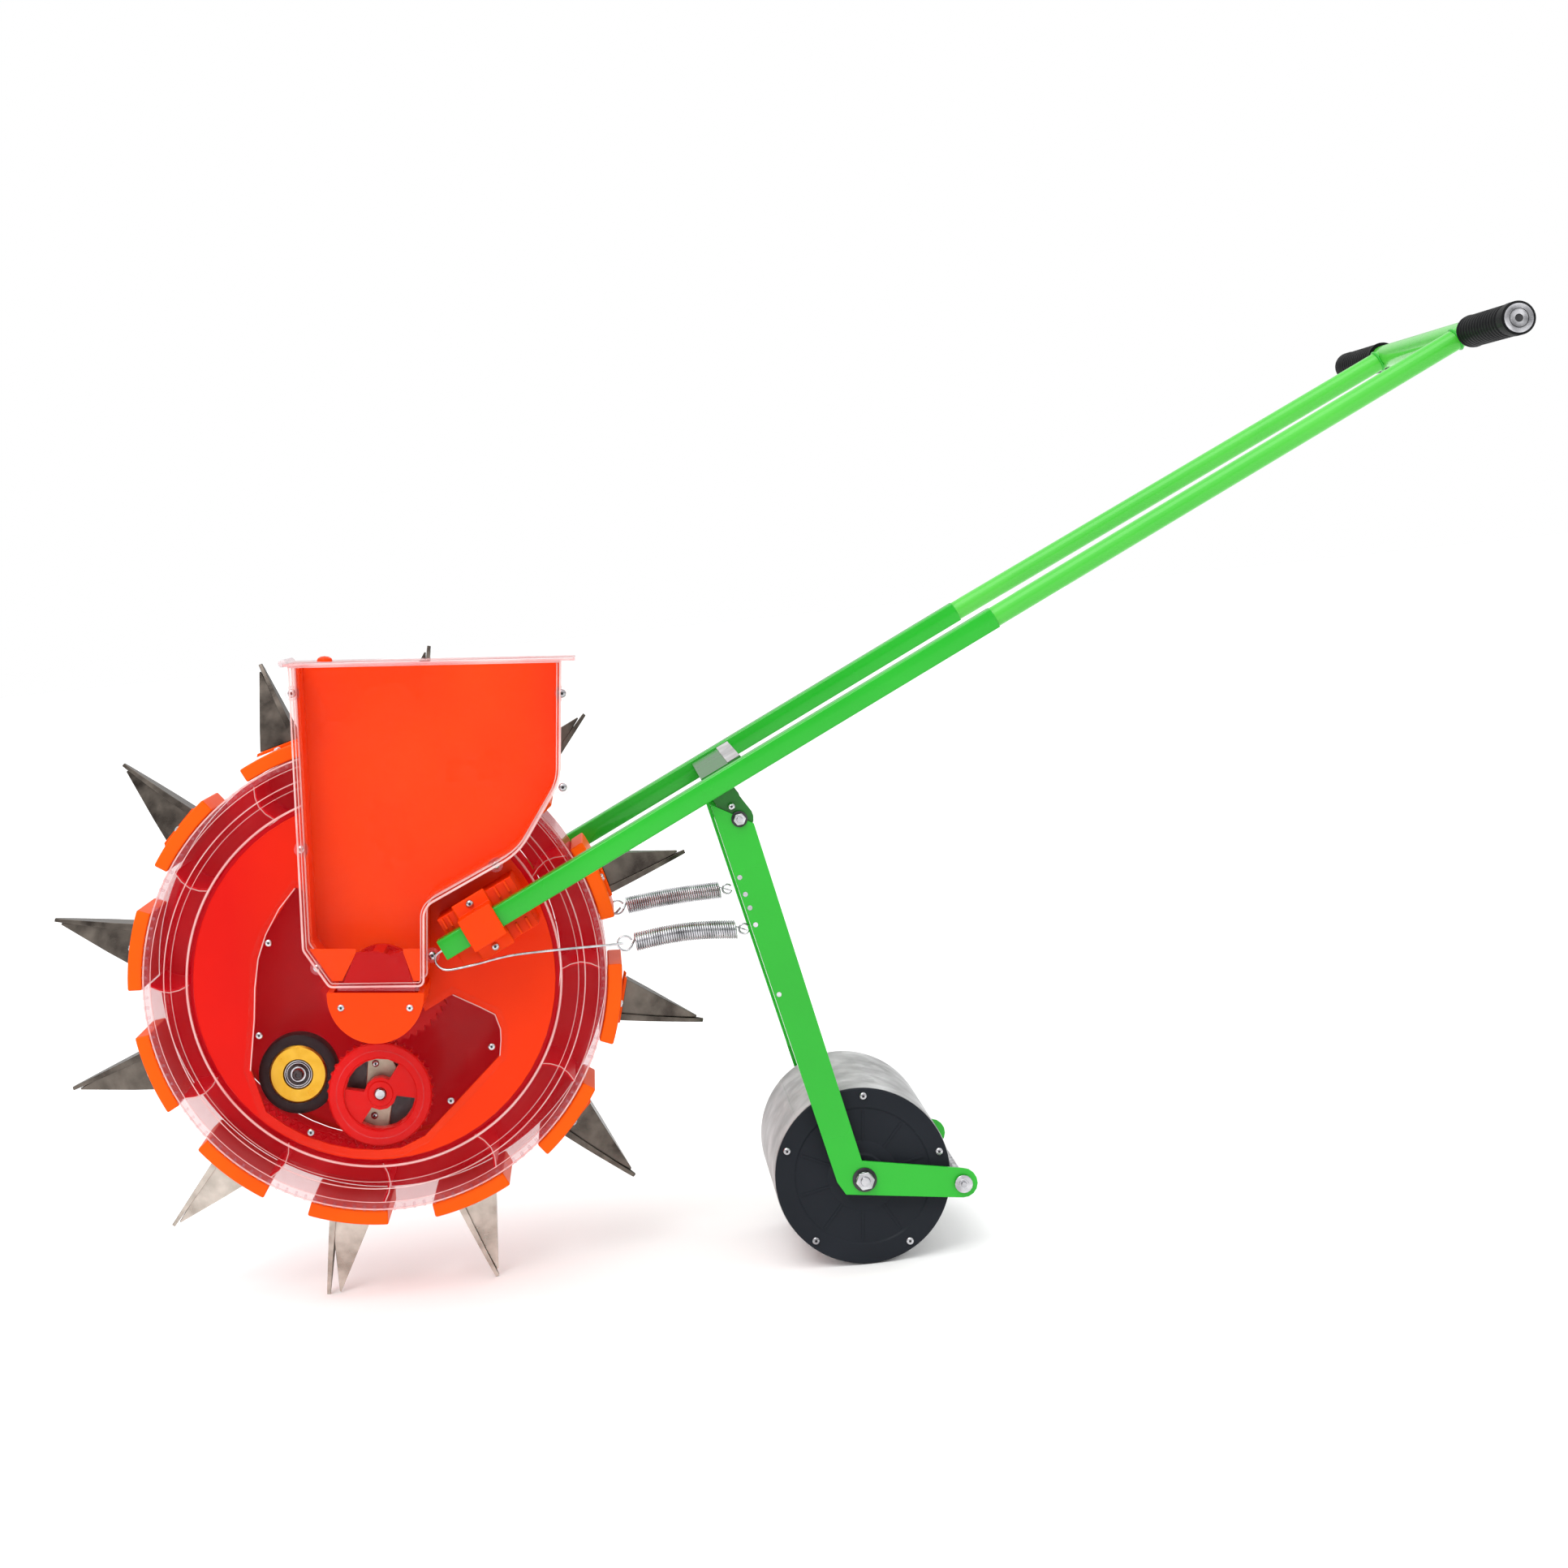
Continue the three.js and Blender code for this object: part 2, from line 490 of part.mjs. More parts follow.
const armFrame = new THREE.Group();
armFrame.rotation.y = -rad(ARM.angle);
armFrame.position.set(ARM.start[0], 0, ARM.start[1]);
level.add(armFrame);
for (const [side, mirrored] of [['near', false], ['far', true]]) {
  const options = { mirrored, group: armFrame };
  addPart(`lower_arm_${side}`, lowerArm(), GREEN, options).position.z = ARM_RISE[side];
  addPart(`arm_clamp_${side}`, armClamp(), ORANGE, options).position.z = ARM_RISE[side];
  addPart(`grip_${side}`, grip(), BLACK, options);
}
addPart('upper_handle', upperHandle(), GREEN, { group: armFrame });
addPart('frame_crosspiece', frameCrosspiece(), GREEN, { group: armFrame });

// ---------------------------------------------------------------- press roller and its frame
/** L-shaped plate with an angle flange down its front edge. */
function pressArm() {
  const { inner, outer, flangeDepth, footTip, footHalf } = PRESS;
  const front = [[303, 163], [416, -173]];
  const outline = [
    front[0], front[1], [424, -footHalf + ROLLER_AXLE[1] - 0.5],
    ...arc(footHalf, -90, 90, 8, footTip), [438, -154], [342, 146],
  ];
  const sheet = outer - inner;
  const flangeFoot = 0.74;
  const along = (t, shift) => [front[0][0] + (front[1][0] - front[0][0]) * t + shift,
    front[0][1] + (front[1][1] - front[0][1]) * t];
  const flange = [along(0.04, 0), along(flangeFoot, 0), along(flangeFoot, sheet), along(0.04, sheet)];
  const plate = join(slab(outline, -outer, -inner), slab(flange, -outer, -outer + flangeDepth));
  return cut(plate, rod(5.4, -outer - 1, -inner + 1, 16, PIVOT),
    rod(8.4, -outer - 1, -inner + 1, 16, ROLLER_AXLE), rod(5, -outer - 1, -inner + 1, 12, footTip));
}

/** A bolt right across the machine with a round head on each end. */
function crossBolt(at, shank, head, half, headThickness) {
  const inside = half - headThickness;
  return solid(turned([[0, -half], [head, -half], [head, -inside], [shank, -inside], [shank, inside],
    [head, inside], [head, half], [0, half]], 16, at));
}

function pressRoller() {
  const { radius, wall, half } = ROLLER;
  return solid(turned([[radius - wall, -half], [radius, -half], [radius, half], [radius - wall, half]],
    60, ROLLER_AXLE));
}

/** End cap with a spigot inside the roller's tube. */
function rollerCap() {
  const { radius, wall, half } = ROLLER;
  const spigot = radius - wall - GAP;
  return solid(turned([
    [9, -half - 5], [20, -half - 5], [22, -half - 3], [radius - 0.5, -half - 3], [radius - 0.5, -half - GAP],
    [spigot, -half - GAP], [spigot, -half + 10], [spigot - 4, -half + 10], [spigot - 4, -half + 2], [9, -half + 2],
  ], 36, ROLLER_AXLE));
}

/** Stand-in for a tension spring: its coil and its two hooks, between two [x, z] points. */
function spring(from, to, y) {
  const run = new THREE.Vector3(to[0] - from[0], 0, to[1] - from[1]);
  const { radius, wire } = SPRING;
  const length = run.length();
  const body = turned([[0, -20], [wire, -20], [wire, 0], [radius, 0], [radius, length], [wire, length],
    [wire, length + 9], [0, length + 9]], 14);
  const turn = new THREE.Quaternion().setFromUnitVectors(new THREE.Vector3(0, 1, 0), run.normalize());
  return solid(body.applyQuaternion(turn).translate(from[0], y, from[1]));
}

/** Bent wire from a spring's eye to the open end of an arm. */
function hookWire() {
  const route = [
    [212, 36.5, -97], [165, 33, -104], [125, 29, -111], [92, 21.5, -117], [70, 17.5, -118],
    [60.5, 22, -116.5], [60, 30, -115], [69, 36, -115],
  ].map(([x, z, y]) => new THREE.Vector3(x, y, z));
  const section = new THREE.Shape(arc(HOOK_WIRE, 0, 300, 5).map(([x, y]) => new THREE.Vector2(x, y)));
  const path = new THREE.CatmullRomCurve3(route);
  return solid(new THREE.ExtrudeGeometry(section, { steps: 22, bevelEnabled: false, extrudePath: path }));
}

addPair('press_arm', pressArm(), GREEN);
addPart('pivot_bolt', crossBolt(PIVOT, 5, 8.5, PRESS.outer + 5, 4.6), BRIGHT);
addPart('press_roller', pressRoller(), ZINC);
addPair('roller_cap', rollerCap(), BLACK);
addPart('roller_axle', crossBolt(ROLLER_AXLE, 8, 12, PRESS.outer + 7, 6.6), BRIGHT);
addPart('foot_rod', crossBolt(PRESS.footTip, 4.5, 8, PRESS.outer + 5, 4.5), BRIGHT);
addPart('spring_near', spring(...SPRING.near, -SPRING.y), BRIGHT);
addPart('spring_far', spring(...SPRING.far, SPRING.y), BRIGHT);
addPair('hook_wire', hookWire(), BRIGHT);

// ---------------------------------------------------------------- standing on the floor
const standing = new THREE.Group();
standing.rotation.y = rad(STANDING_TILT);
standing.add(level);
const seeder = new THREE.Group();
seeder.add(standing);
const bounds = new THREE.Box3().setFromObject(seeder, true);
standing.position.set(-(bounds.min.x + bounds.max.x) / 2, 0, -bounds.min.z);

export default seeder;
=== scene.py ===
"""Push seeder: the finished look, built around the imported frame. Lengths are in millimetres in the
machine's level frame (origin on the wheel axle, X to the rear, Y to the far side, Z up), and are
turned into metres in the row frame by LEVEL."""
import json
import math

import bmesh
import bpy
from mathutils import Matrix, Vector

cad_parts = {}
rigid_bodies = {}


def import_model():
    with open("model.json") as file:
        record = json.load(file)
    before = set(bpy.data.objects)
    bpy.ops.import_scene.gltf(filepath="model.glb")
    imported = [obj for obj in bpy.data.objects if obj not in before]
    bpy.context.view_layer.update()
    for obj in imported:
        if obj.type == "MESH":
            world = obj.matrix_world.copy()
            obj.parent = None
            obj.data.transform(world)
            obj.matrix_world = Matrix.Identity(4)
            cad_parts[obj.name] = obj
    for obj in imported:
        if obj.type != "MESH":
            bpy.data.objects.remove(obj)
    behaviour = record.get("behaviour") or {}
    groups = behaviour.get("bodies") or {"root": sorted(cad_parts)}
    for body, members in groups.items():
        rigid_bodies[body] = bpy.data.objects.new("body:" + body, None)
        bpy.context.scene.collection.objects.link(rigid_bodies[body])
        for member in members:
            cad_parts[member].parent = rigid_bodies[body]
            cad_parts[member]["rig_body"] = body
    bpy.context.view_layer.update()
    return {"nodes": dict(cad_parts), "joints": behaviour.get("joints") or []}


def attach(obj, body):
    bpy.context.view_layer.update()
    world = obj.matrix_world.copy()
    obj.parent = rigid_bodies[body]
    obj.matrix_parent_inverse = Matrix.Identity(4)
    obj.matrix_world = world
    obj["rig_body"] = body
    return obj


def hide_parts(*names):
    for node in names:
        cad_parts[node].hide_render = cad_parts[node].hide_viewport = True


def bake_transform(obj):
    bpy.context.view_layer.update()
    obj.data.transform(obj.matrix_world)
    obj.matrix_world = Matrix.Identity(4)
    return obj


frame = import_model()

NODES = frame["nodes"]
JOINTS = {joint["name"]: joint for joint in frame["joints"]}
STANDING_TILT = math.radians(6)
AXLE = Vector(JOINTS["wheel_spin"]["pos_m"])
TILT = Matrix.Rotation(STANDING_TILT, 4, "Y")
LEVEL = Matrix.Translation(AXLE) @ TILT @ Matrix.Scale(0.001, 4)

# seed wheel: number of mouths, degrees of the first one, and the mouths whose steel is painted paler as a
# painted reflection
MOUTHS = 12
MOUTH_STEP = 360 / MOUTHS
FIRST_MOUTH = 21
REFLECTION_PAINTED_MOUTHS = ("08", "09", "10")
RIM_TEETH = 144
GUIDE_ANGLES = (232, 112, 10)
GUIDE_ORBIT = 118
IDLER_AXIS = (4.5, -107.4)

# arms: (x, z) of their start, degrees above level, distance from the middle, half side and length, and
# how far each one stands off the shared line; the handle bar is this far along it
ARM_START = (66, 34)
ARM_ANGLE = 31.1
ARM_Y = 113
ARM_HALF = 9.5
ARM_WALL = 1
ARM_END = 570
ARM_RISE = {"near": 0.7, "far": 4.5}
HANDLE_BAR = 1060

# press roller: (x, z) of the pivot bolt, the axle and the rod at the tip of the foot, and the distance of
# the L plates' outer faces from the middle
PIVOT = (329, 150)
ROLLER_AXLE = (440.4, -170.5)
FOOT_TIP = (528, -173.5)
PRESS_FACE = 107.2


# ------------------------------------------------------------------ camera, floor and light
def camera():
    """Looks straight along Y from beside the machine; the picture is rolled by the standing tilt."""
    data = bpy.data.cameras.new("camera")
    data.lens = 59.1
    data.sensor_width = 36
    data.shift_x = 0.1237
    data.shift_y = -0.1258
    data.clip_end = 100
    obj = bpy.data.objects.new("camera", data)
    place = Matrix.Translation(LEVEL @ Vector((196.3, -2395, 356.4)))
    obj.matrix_world = place @ TILT @ Matrix.Rotation(math.pi / 2, 4, "X")
    bpy.context.scene.collection.objects.link(obj)
    bpy.context.scene.camera = obj


def area_light(name, location, target, size, power):
    """A round lamp in the row frame, aimed at target."""
    data = bpy.data.lights.new(name, "AREA")
    data.shape = "DISK"
    data.size = size
    data.energy = power
    obj = bpy.data.objects.new(name, data)
    obj.location = location
    aim = (Vector(target) - Vector(location)).to_track_quat("-Z", "Y")
    obj.rotation_euler = aim.to_euler()
    bpy.context.scene.collection.objects.link(obj)


def white_floor():
    bpy.ops.mesh.primitive_plane_add(size=60, location=(0, 0, 0))
    floor = bpy.context.object
    floor.name = "floor"
    material, _, shader = new_material("floor_white")
    shader.inputs["Base Color"].default_value = grey(0.93)
    shader.inputs["Roughness"].default_value = 0.9
    shader.inputs["Specular IOR Level"].default_value = 0.1
    floor.data.materials.append(material)


def sky():
    """White to the camera; everything else sees a darker band just above the horizon."""
    world = bpy.data.worlds.new("studio")
    world.use_nodes = True
    tree = world.node_tree
    background = tree.nodes["Background"]
    background.inputs["Strength"].default_value = 1.0
    coordinates = tree.nodes.new("ShaderNodeTexCoord")
    split = tree.nodes.new("ShaderNodeSeparateXYZ")
    bands = tree.nodes.new("ShaderNodeValToRGB")
    bands.color_ramp.elements[0].position = 0
    bands.color_ramp.elements[0].color = grey(0.62)
    bands.color_ramp.elements[1].position = 0.6
    bands.color_ramp.elements[1].color = grey(1.25)
    for position, tone in ((0.12, 0.35), (0.3, 1.0)):
        bands.color_ramp.elements.new(position).color = grey(tone)
    seen = tree.nodes.new("ShaderNodeLightPath")
    mix = tree.nodes.new("ShaderNodeMix")
    mix.data_type = "RGBA"
    mix.inputs[7].default_value = grey(1)
    tree.links.new(coordinates.outputs["Generated"], split.inputs["Vector"])
    tree.links.new(split.outputs["Z"], bands.inputs["Fac"])
    tree.links.new(bands.outputs["Color"], mix.inputs[6])
    tree.links.new(seen.outputs["Is Camera Ray"], mix.inputs["Factor"])
    tree.links.new(mix.outputs[2], background.inputs["Color"])
    bpy.context.scene.world = world


def studio():
    white_floor()
    sky()
    sun = bpy.data.lights.new("sky_sun", "SUN")
    sun.energy = 0.9
    sun.angle = math.radians(40)
    lamp = bpy.data.objects.new("sky_sun", sun)
    lamp.rotation_euler = (math.radians(24), math.radians(-14), 0)
    bpy.context.scene.collection.objects.link(lamp)
    area_light("key", (-0.9, -2.2, 2.2), (-0.1, 0, 0.35), 0.9, 16)
    bpy.context.scene.view_settings.view_transform = "Standard"


# ------------------------------------------------------------------ materials
def linear(*rgb):
    """An sRGB colour, 0 to 255, as the linear colour that shaders take."""
    scaled = [c / 255 for c in rgb]
    return [c / 12.92 if c <= 0.04045 else ((c + 0.055) / 1.055) ** 2.4 for c in scaled] + [1]


def new_material(name):
    material = bpy.data.materials.new(name)
    material.use_nodes = True
    return material, material.node_tree, material.node_tree.nodes["Principled BSDF"]


def noise_node(tree, scale, detail=4, stretch=(1, 1, 1)):
    """Noise fixed to the piece; a larger stretch makes it finer along that axis."""
    coordinates = tree.nodes.new("ShaderNodeTexCoord")
    mapping = tree.nodes.new("ShaderNodeMapping")
    mapping.inputs["Scale"].default_value = stretch
    noise = tree.nodes.new("ShaderNodeTexNoise")
    noise.inputs["Scale"].default_value = scale
    noise.inputs["Detail"].default_value = detail
    tree.links.new(coordinates.outputs["Object"], mapping.inputs["Vector"])
    tree.links.new(mapping.outputs["Vector"], noise.inputs["Vector"])
    return noise


def ramp(tree, source, low, high, start=0.3, end=0.7):
    """The colour from low to high as source goes from start to end."""
    node = tree.nodes.new("ShaderNodeValToRGB")
    node.color_ramp.elements[0].position = start
    node.color_ramp.elements[0].color = low
    node.color_ramp.elements[1].position = end
    node.color_ramp.elements[1].color = high
    tree.links.new(source, node.inputs["Fac"])
    return node.outputs["Color"]


def grey(value):
    return (value, value, value, 1)


def add_bump(tree, shader, source, distance, strength=0.3):
    bump = tree.nodes.new("ShaderNodeBump")
    bump.inputs["Distance"].default_value = distance
    bump.inputs["Strength"].default_value = strength
    tree.links.new(source, bump.inputs["Height"])
    tree.links.new(bump.outputs["Normal"], shader.inputs["Normal"])


def plastic(name, colour, shade, roughness=0.32, grain=900, coat=0.08, painted_glow=0.0):
    """Moulded plastic: faint cloudy colour, a fine skin texture and patchy gloss. The painted glow is an
    emission that paints in the light a translucent moulding passes on from behind."""
    material, tree, shader = new_material(name)
    cloud = noise_node(tree, 9, 5)
    skin = noise_node(tree, grain, 2)
    tree.links.new(ramp(tree, cloud.outputs["Fac"], shade, colour), shader.inputs["Base Color"])
    gloss = ramp(tree, cloud.outputs["Fac"], grey(roughness * 0.8), grey(roughness * 1.3))
    tree.links.new(gloss, shader.inputs["Roughness"])
    shader.inputs["Specular IOR Level"].default_value = 0.08
    shader.inputs["Coat Weight"].default_value = coat
    shader.inputs["Coat Roughness"].default_value = 0.12
    # painted glow: an emission standing in for light passed through the moulding
    if painted_glow:
        shader.inputs["Emission Color"].default_value = colour
        shader.inputs["Emission Strength"].default_value = painted_glow
    add_bump(tree, shader, skin.outputs["Fac"], 0.0002, 0.15)
    return material


def painted_light_across(material, start, end, colour):
    """Blends the material's colour to another one from row X = start to row X = end: painted light and shade
    across the piece.
    """
    tree = material.node_tree
    shader = tree.nodes["Principled BSDF"]
    before = shader.inputs["Base Color"].links[0].from_socket
    coordinates = tree.nodes.new("ShaderNodeTexCoord")
    split = tree.nodes.new("ShaderNodeSeparateXYZ")
    span = tree.nodes.new("ShaderNodeMapRange")
    span.inputs["From Min"].default_value = start
    span.inputs["From Max"].default_value = end
    mix = tree.nodes.new("ShaderNodeMix")
    mix.data_type = "RGBA"
    mix.inputs[7].default_value = colour
    tree.links.new(coordinates.outputs["Object"], split.inputs["Vector"])
    tree.links.new(split.outputs["X"], span.inputs["Value"])
    tree.links.new(span.outputs["Result"], mix.inputs["Factor"])
    tree.links.new(before, mix.inputs[6])
    tree.links.new(mix.outputs[2], shader.inputs["Base Color"])
    return material


def paint(name, colour, shade):
    """Glossy powder coat with orange peel."""
    material, tree, shader = new_material(name)
    cloud = noise_node(tree, 5, 4)
    peel = noise_node(tree, 420, 2)
    tree.links.new(ramp(tree, cloud.outputs["Fac"], shade, colour), shader.inputs["Base Color"])
    gloss = ramp(tree, cloud.outputs["Fac"], grey(0.2), grey(0.34))
    tree.links.new(gloss, shader.inputs["Roughness"])
    shader.inputs["Specular IOR Level"].default_value = 0.25
    shader.inputs["Coat Weight"].default_value = 0.3
    shader.inputs["Coat Roughness"].default_value = 0.08
    add_bump(tree, shader, peel.outputs["Fac"], 0.0003, 0.18)
    return material


def metal(name, dark, light, roughness, scale=60, stretch=(1, 1, 1), grain=0.0002):
    """Bare or plated metal with streaks or clouds of tone."""
    material, tree, shader = new_material(name)
    streak = noise_node(tree, scale, 6, stretch)
    fine = noise_node(tree, scale * 12, 3, stretch)
    shader.inputs["Metallic"].default_value = 1
    tree.links.new(ramp(tree, streak.outputs["Fac"], dark, light), shader.inputs["Base Color"])
    wear = ramp(tree, streak.outputs["Fac"], grey(roughness * 0.75), grey(roughness * 1.35))
    tree.links.new(wear, shader.inputs["Roughness"])
    add_bump(tree, shader, fine.outputs["Fac"], grain, 0.25)
    return material


def galvanised(name):
    """Hot-dip zinc: large soft spangles over a dull grey."""
    material, tree, shader = new_material(name)
    coordinates = tree.nodes.new("ShaderNodeTexCoord")
    cells = tree.nodes.new("ShaderNodeTexVoronoi")
    cells.inputs["Scale"].default_value = 95
    tree.links.new(coordinates.outputs["Object"], cells.inputs["Vector"])
    cloud = noise_node(tree, 30, 6)
    mix = tree.nodes.new("ShaderNodeMix")
    mix.data_type = "RGBA"
    mix.blend_type = "MULTIPLY"
    mix.inputs["Factor"].default_value = 0.5
    tone = ramp(tree, cloud.outputs["Fac"], linear(160, 160, 160), linear(206, 206, 207))
    tree.links.new(tone, mix.inputs[6])
    spangle = ramp(tree, cells.outputs["Color"], grey(0.6), grey(1), 0.2, 0.8)
    tree.links.new(spangle, mix.inputs[7])
    tree.links.new(mix.outputs[2], shader.inputs["Base Color"])
    shader.inputs["Metallic"].default_value = 0.55
    tree.links.new(ramp(tree, cells.outputs["Color"], grey(0.42), grey(0.6)), shader.inputs["Roughness"])
    add_bump(tree, shader, cloud.outputs["Fac"], 0.0006, 0.2)
    return material


def clear(name, tint, pale, facing, grazing):
    """Clear moulding: nearly see-through face on, paler and glossier at a glance along it."""
    material, tree, shader = new_material(name)
    haze = noise_node(tree, 22, 5)
    tree.links.new(ramp(tree, haze.outputs["Fac"], tint, pale), shader.inputs["Base Color"])
    shader.inputs["Roughness"].default_value = 0.08
    shader.inputs["Specular IOR Level"].default_value = 0.9
    shader.inputs["Coat Weight"].default_value = 0.5
    weight = tree.nodes.new("ShaderNodeLayerWeight")
    weight.inputs["Blend"].default_value = 0.35
    alpha = ramp(tree, weight.outputs["Facing"], grey(facing), grey(grazing), 0.2, 1)
    tree.links.new(alpha, shader.inputs["Alpha"])
    return material


ORANGE = plastic("orange_plastic", linear(240, 66, 0), linear(234, 58, 0))
ORANGE_PAD = plastic("orange_pad_plastic", linear(246, 92, 0), linear(240, 82, 0), 0.38)
# The plates' red is blended into a brighter orange towards the rear: painted light, darker red at the front
# and lighter orange at the rear.
PLATE = painted_light_across(plastic("plate_plastic_painted_light", linear(212, 16, 4), linear(202, 12, 4)), -0.5, -0.33,
                      linear(232, 52, 0))
# DARK_RED, RING_RED and RED carry a painted glow: an emission that paints in light passed through the red
# mouldings
DARK_RED = plastic("dark_red_plastic", linear(186, 6, 10), linear(160, 4, 8), 0.3, painted_glow=0.12)
RING_RED = plastic("ring_red_plastic", linear(176, 0, 14), linear(132, 0, 8), 0.3, painted_glow=0.5)
RED = plastic("red_plastic", linear(214, 12, 12), linear(196, 8, 10), 0.28, painted_glow=0.1)
BLACK = plastic("black_plastic", linear(36, 39, 45), linear(27, 30, 35), 0.5, 500, 0.03)
GRIP = plastic("grip_rubber", linear(20, 21, 23), linear(12, 13, 14), 0.55, 700, 0.03)
TYRE = plastic("tyre_rubber", linear(34, 34, 38), linear(20, 20, 23), 0.45, 600, 0.05)
GREEN = paint("green_paint", linear(34, 176, 40), linear(26, 162, 32))
# a darker copy of the green paint: painted shade, for the crosspiece
GREEN_PAINTED_SHADE = paint("green_paint_painted_shade", linear(14, 116, 22), linear(10, 100, 18))
# a paler copy of the green paint: painted light, for the upper tubes and the handle bar
GREEN_PAINTED_LIGHT = paint("green_paint_painted_light", linear(84, 196, 66), linear(66, 184, 56))
# SPIKE, the paler mouth steel, is a painted reflection on three mouths of the same steel; SPIKE_DARK is the
# steel's own tone
SPIKE = metal("mouth_steel", linear(150, 142, 132), linear(214, 206, 196), 0.3, 40, (1, 5, 1))
SPIKE_DARK = metal("mouth_steel_dark", linear(62, 56, 52), linear(118, 110, 102), 0.3, 40, (1, 5, 1))
BRIGHT = metal("bright_steel", linear(150, 150, 154), linear(222, 222, 226), 0.22, 90)
DARK_STEEL = metal("dark_steel", linear(46, 46, 48), linear(84, 84, 86), 0.4, 90)
BEIGE_STEEL = metal("beige_steel", linear(150, 138, 120), linear(206, 196, 178), 0.42, 70)
GOLD = metal("gold_hub", linear(214, 158, 44), linear(240, 192, 70), 0.34, 80)
ZINC = galvanised("zinc_sheet")
CLEAR = clear("clear_plastic", linear(240, 120, 110), linear(255, 160, 150), 0.008, 0.4)
CLEAR_RING = clear("clear_ring_plastic", linear(196, 20, 34), linear(224, 70, 82), 0.03, 0.45)
CLEAR_RIM = clear("clear_rim_plastic", linear(226, 96, 112), linear(246, 176, 186), 0.12, 0.5)
# pale wires of this material trace the clear mouldings' edges and lips: painted highlights
EDGE_HIGHLIGHT = clear("clear_edge_painted_highlight", linear(248, 176, 174), linear(255, 224, 220), 0.55, 0.8)


# ------------------------------------------------------------------ mesh helpers
def finish_piece(obj, body, material, replaces=(), bevel=0.0, smooth=32):
    """Gives a mesh object its bevel, shading, material and body (None for a piece that bends)."""
    mesh = obj.data
    mesh.materials.clear()
    mesh.materials.append(material)
    mesh.polygons.foreach_set("use_smooth", [True] * len(mesh.polygons))
    mesh.set_sharp_from_angle(angle=math.radians(smooth))
    if bevel:
        modifier = obj.modifiers.new("edge", "BEVEL")
        modifier.width = bevel
        modifier.segments = 2
        modifier.limit_method = "ANGLE"
        modifier.angle_limit = math.radians(35)
        modifier.harden_normals = True
    if body:
        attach(obj, body)
    if replaces:
        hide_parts(*replaces)
    return obj


def object_from(name, bm, matrix=LEVEL):
    """A scene object from the bmesh, moved by the matrix into the row frame."""
    bmesh.ops.recalc_face_normals(bm, faces=bm.faces)
    mesh = bpy.data.meshes.new(name)
    bm.to_mesh(mesh)
    bm.free()
    mesh.transform(matrix)
    obj = bpy.data.objects.new(name, mesh)
    bpy.context.scene.collection.objects.link(obj)
    return obj


def refine(node, material, bevel=0.0007, smooth=32):
    """A CAD node's own shape with its flat faces merged and its edges softened."""
    mesh = NODES[node].data.copy()
    bm = bmesh.new()
    bm.from_mesh(mesh)
    bmesh.ops.remove_doubles(bm, verts=bm.verts, dist=1e-6)
    bmesh.ops.dissolve_limit(bm, angle_limit=math.radians(0.5), verts=bm.verts, edges=bm.edges)
    obj = object_from(node + "_look", bm, Matrix())
    return finish_piece(obj, NODES[node]["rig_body"], material, (node,), bevel, smooth)


def lathe(name, profile, centre, body, material, segments=96, replaces=(), bevel=0.0, smooth=32,
          frame_matrix=LEVEL):
    """A closed (radius, y) profile turned about the Y axis through centre (x, z)."""
    bm = bmesh.new()
    cx, cz = centre
    turn = [2 * math.pi * i / segments for i in range(segments)]
    rings = []
    for r, y in profile:
        around = turn if r > 1e-6 else turn[:1]
        rings.append([bm.verts.new((cx + r * math.cos(a), y, cz + r * math.sin(a))) for a in around])
    closed = profile[0][0] > 1e-6 and profile[-1][0] > 1e-6
    pairs = list(zip(rings, rings[1:])) + ([(rings[-1], rings[0])] if closed else [])
    for low, high in pairs:
        for i in range(segments):
            j = (i + 1) % segments
            corners = [low[i % len(low)], low[j % len(low)], high[j % len(high)], high[i % len(high)]]
            corners = list(dict.fromkeys(corners))
            if len(corners) > 2:
                bm.faces.new(corners)
    obj = object_from(name, bm, frame_matrix)
    return finish_piece(obj, body, material, replaces, bevel, smooth)


def loft(name, sections, body, material, bevel=0.0, matrix=LEVEL, replaces=(), smooth=32):
    """A closed skin through sections of equal point counts, capped at both ends."""
    bm = bmesh.new()
    rows = [[bm.verts.new(p) for p in section] for section in sections]
    n = len(rows[0])
    for a, b in zip(rows, rows[1:]):
        for i in range(n):
            j = (i + 1) % n
            bm.faces.new((a[i], a[j], b[j], b[i]))
    bm.faces.new(rows[0])
    bm.faces.new(rows[-1])
    return finish_piece(object_from(name, bm, matrix), body, material, replaces, bevel, smooth)


def prism(name, outline, y0, y1, body, material, bevel=0.0006, matrix=LEVEL, replaces=(), smooth=32):
    """A side outline of (x, z) points between two Y planes."""
    sections = [[(x, y, z) for x, z in outline] for y in (y0, y1)]
    return loft(name, sections, body, material, bevel, matrix, replaces, smooth)


def sweep(name, points, radius, body, material, sides=10, closed=False, matrix=LEVEL, replaces=()):
    """A round wire through points, as a mesh."""
    curve = bpy.data.curves.new(name, "CURVE")
    curve.dimensions = "3D"
    spline = curve.splines.new("POLY")
    spline.points.add(len(points) - 1)
    for slot, point in zip(spline.points, points):
        slot.co = (*point, 1)
    spline.use_cyclic_u = closed
    curve.bevel_depth = radius
    curve.bevel_resolution = max(sides // 4, 1)
    curve.use_fill_caps = not closed
    holder = bpy.data.objects.new(name + "_path", curve)
    bpy.context.scene.collection.objects.link(holder)
    bpy.context.view_layer.update()
    mesh = bpy.data.meshes.new_from_object(holder.evaluated_get(bpy.context.evaluated_depsgraph_get()))
    bpy.data.objects.remove(holder)
    mesh.name = name
    mesh.transform(matrix)
    obj = bpy.data.objects.new(name, mesh)
    bpy.context.scene.collection.objects.link(obj)
    return finish_piece(obj, body, material, replaces, smooth=60)


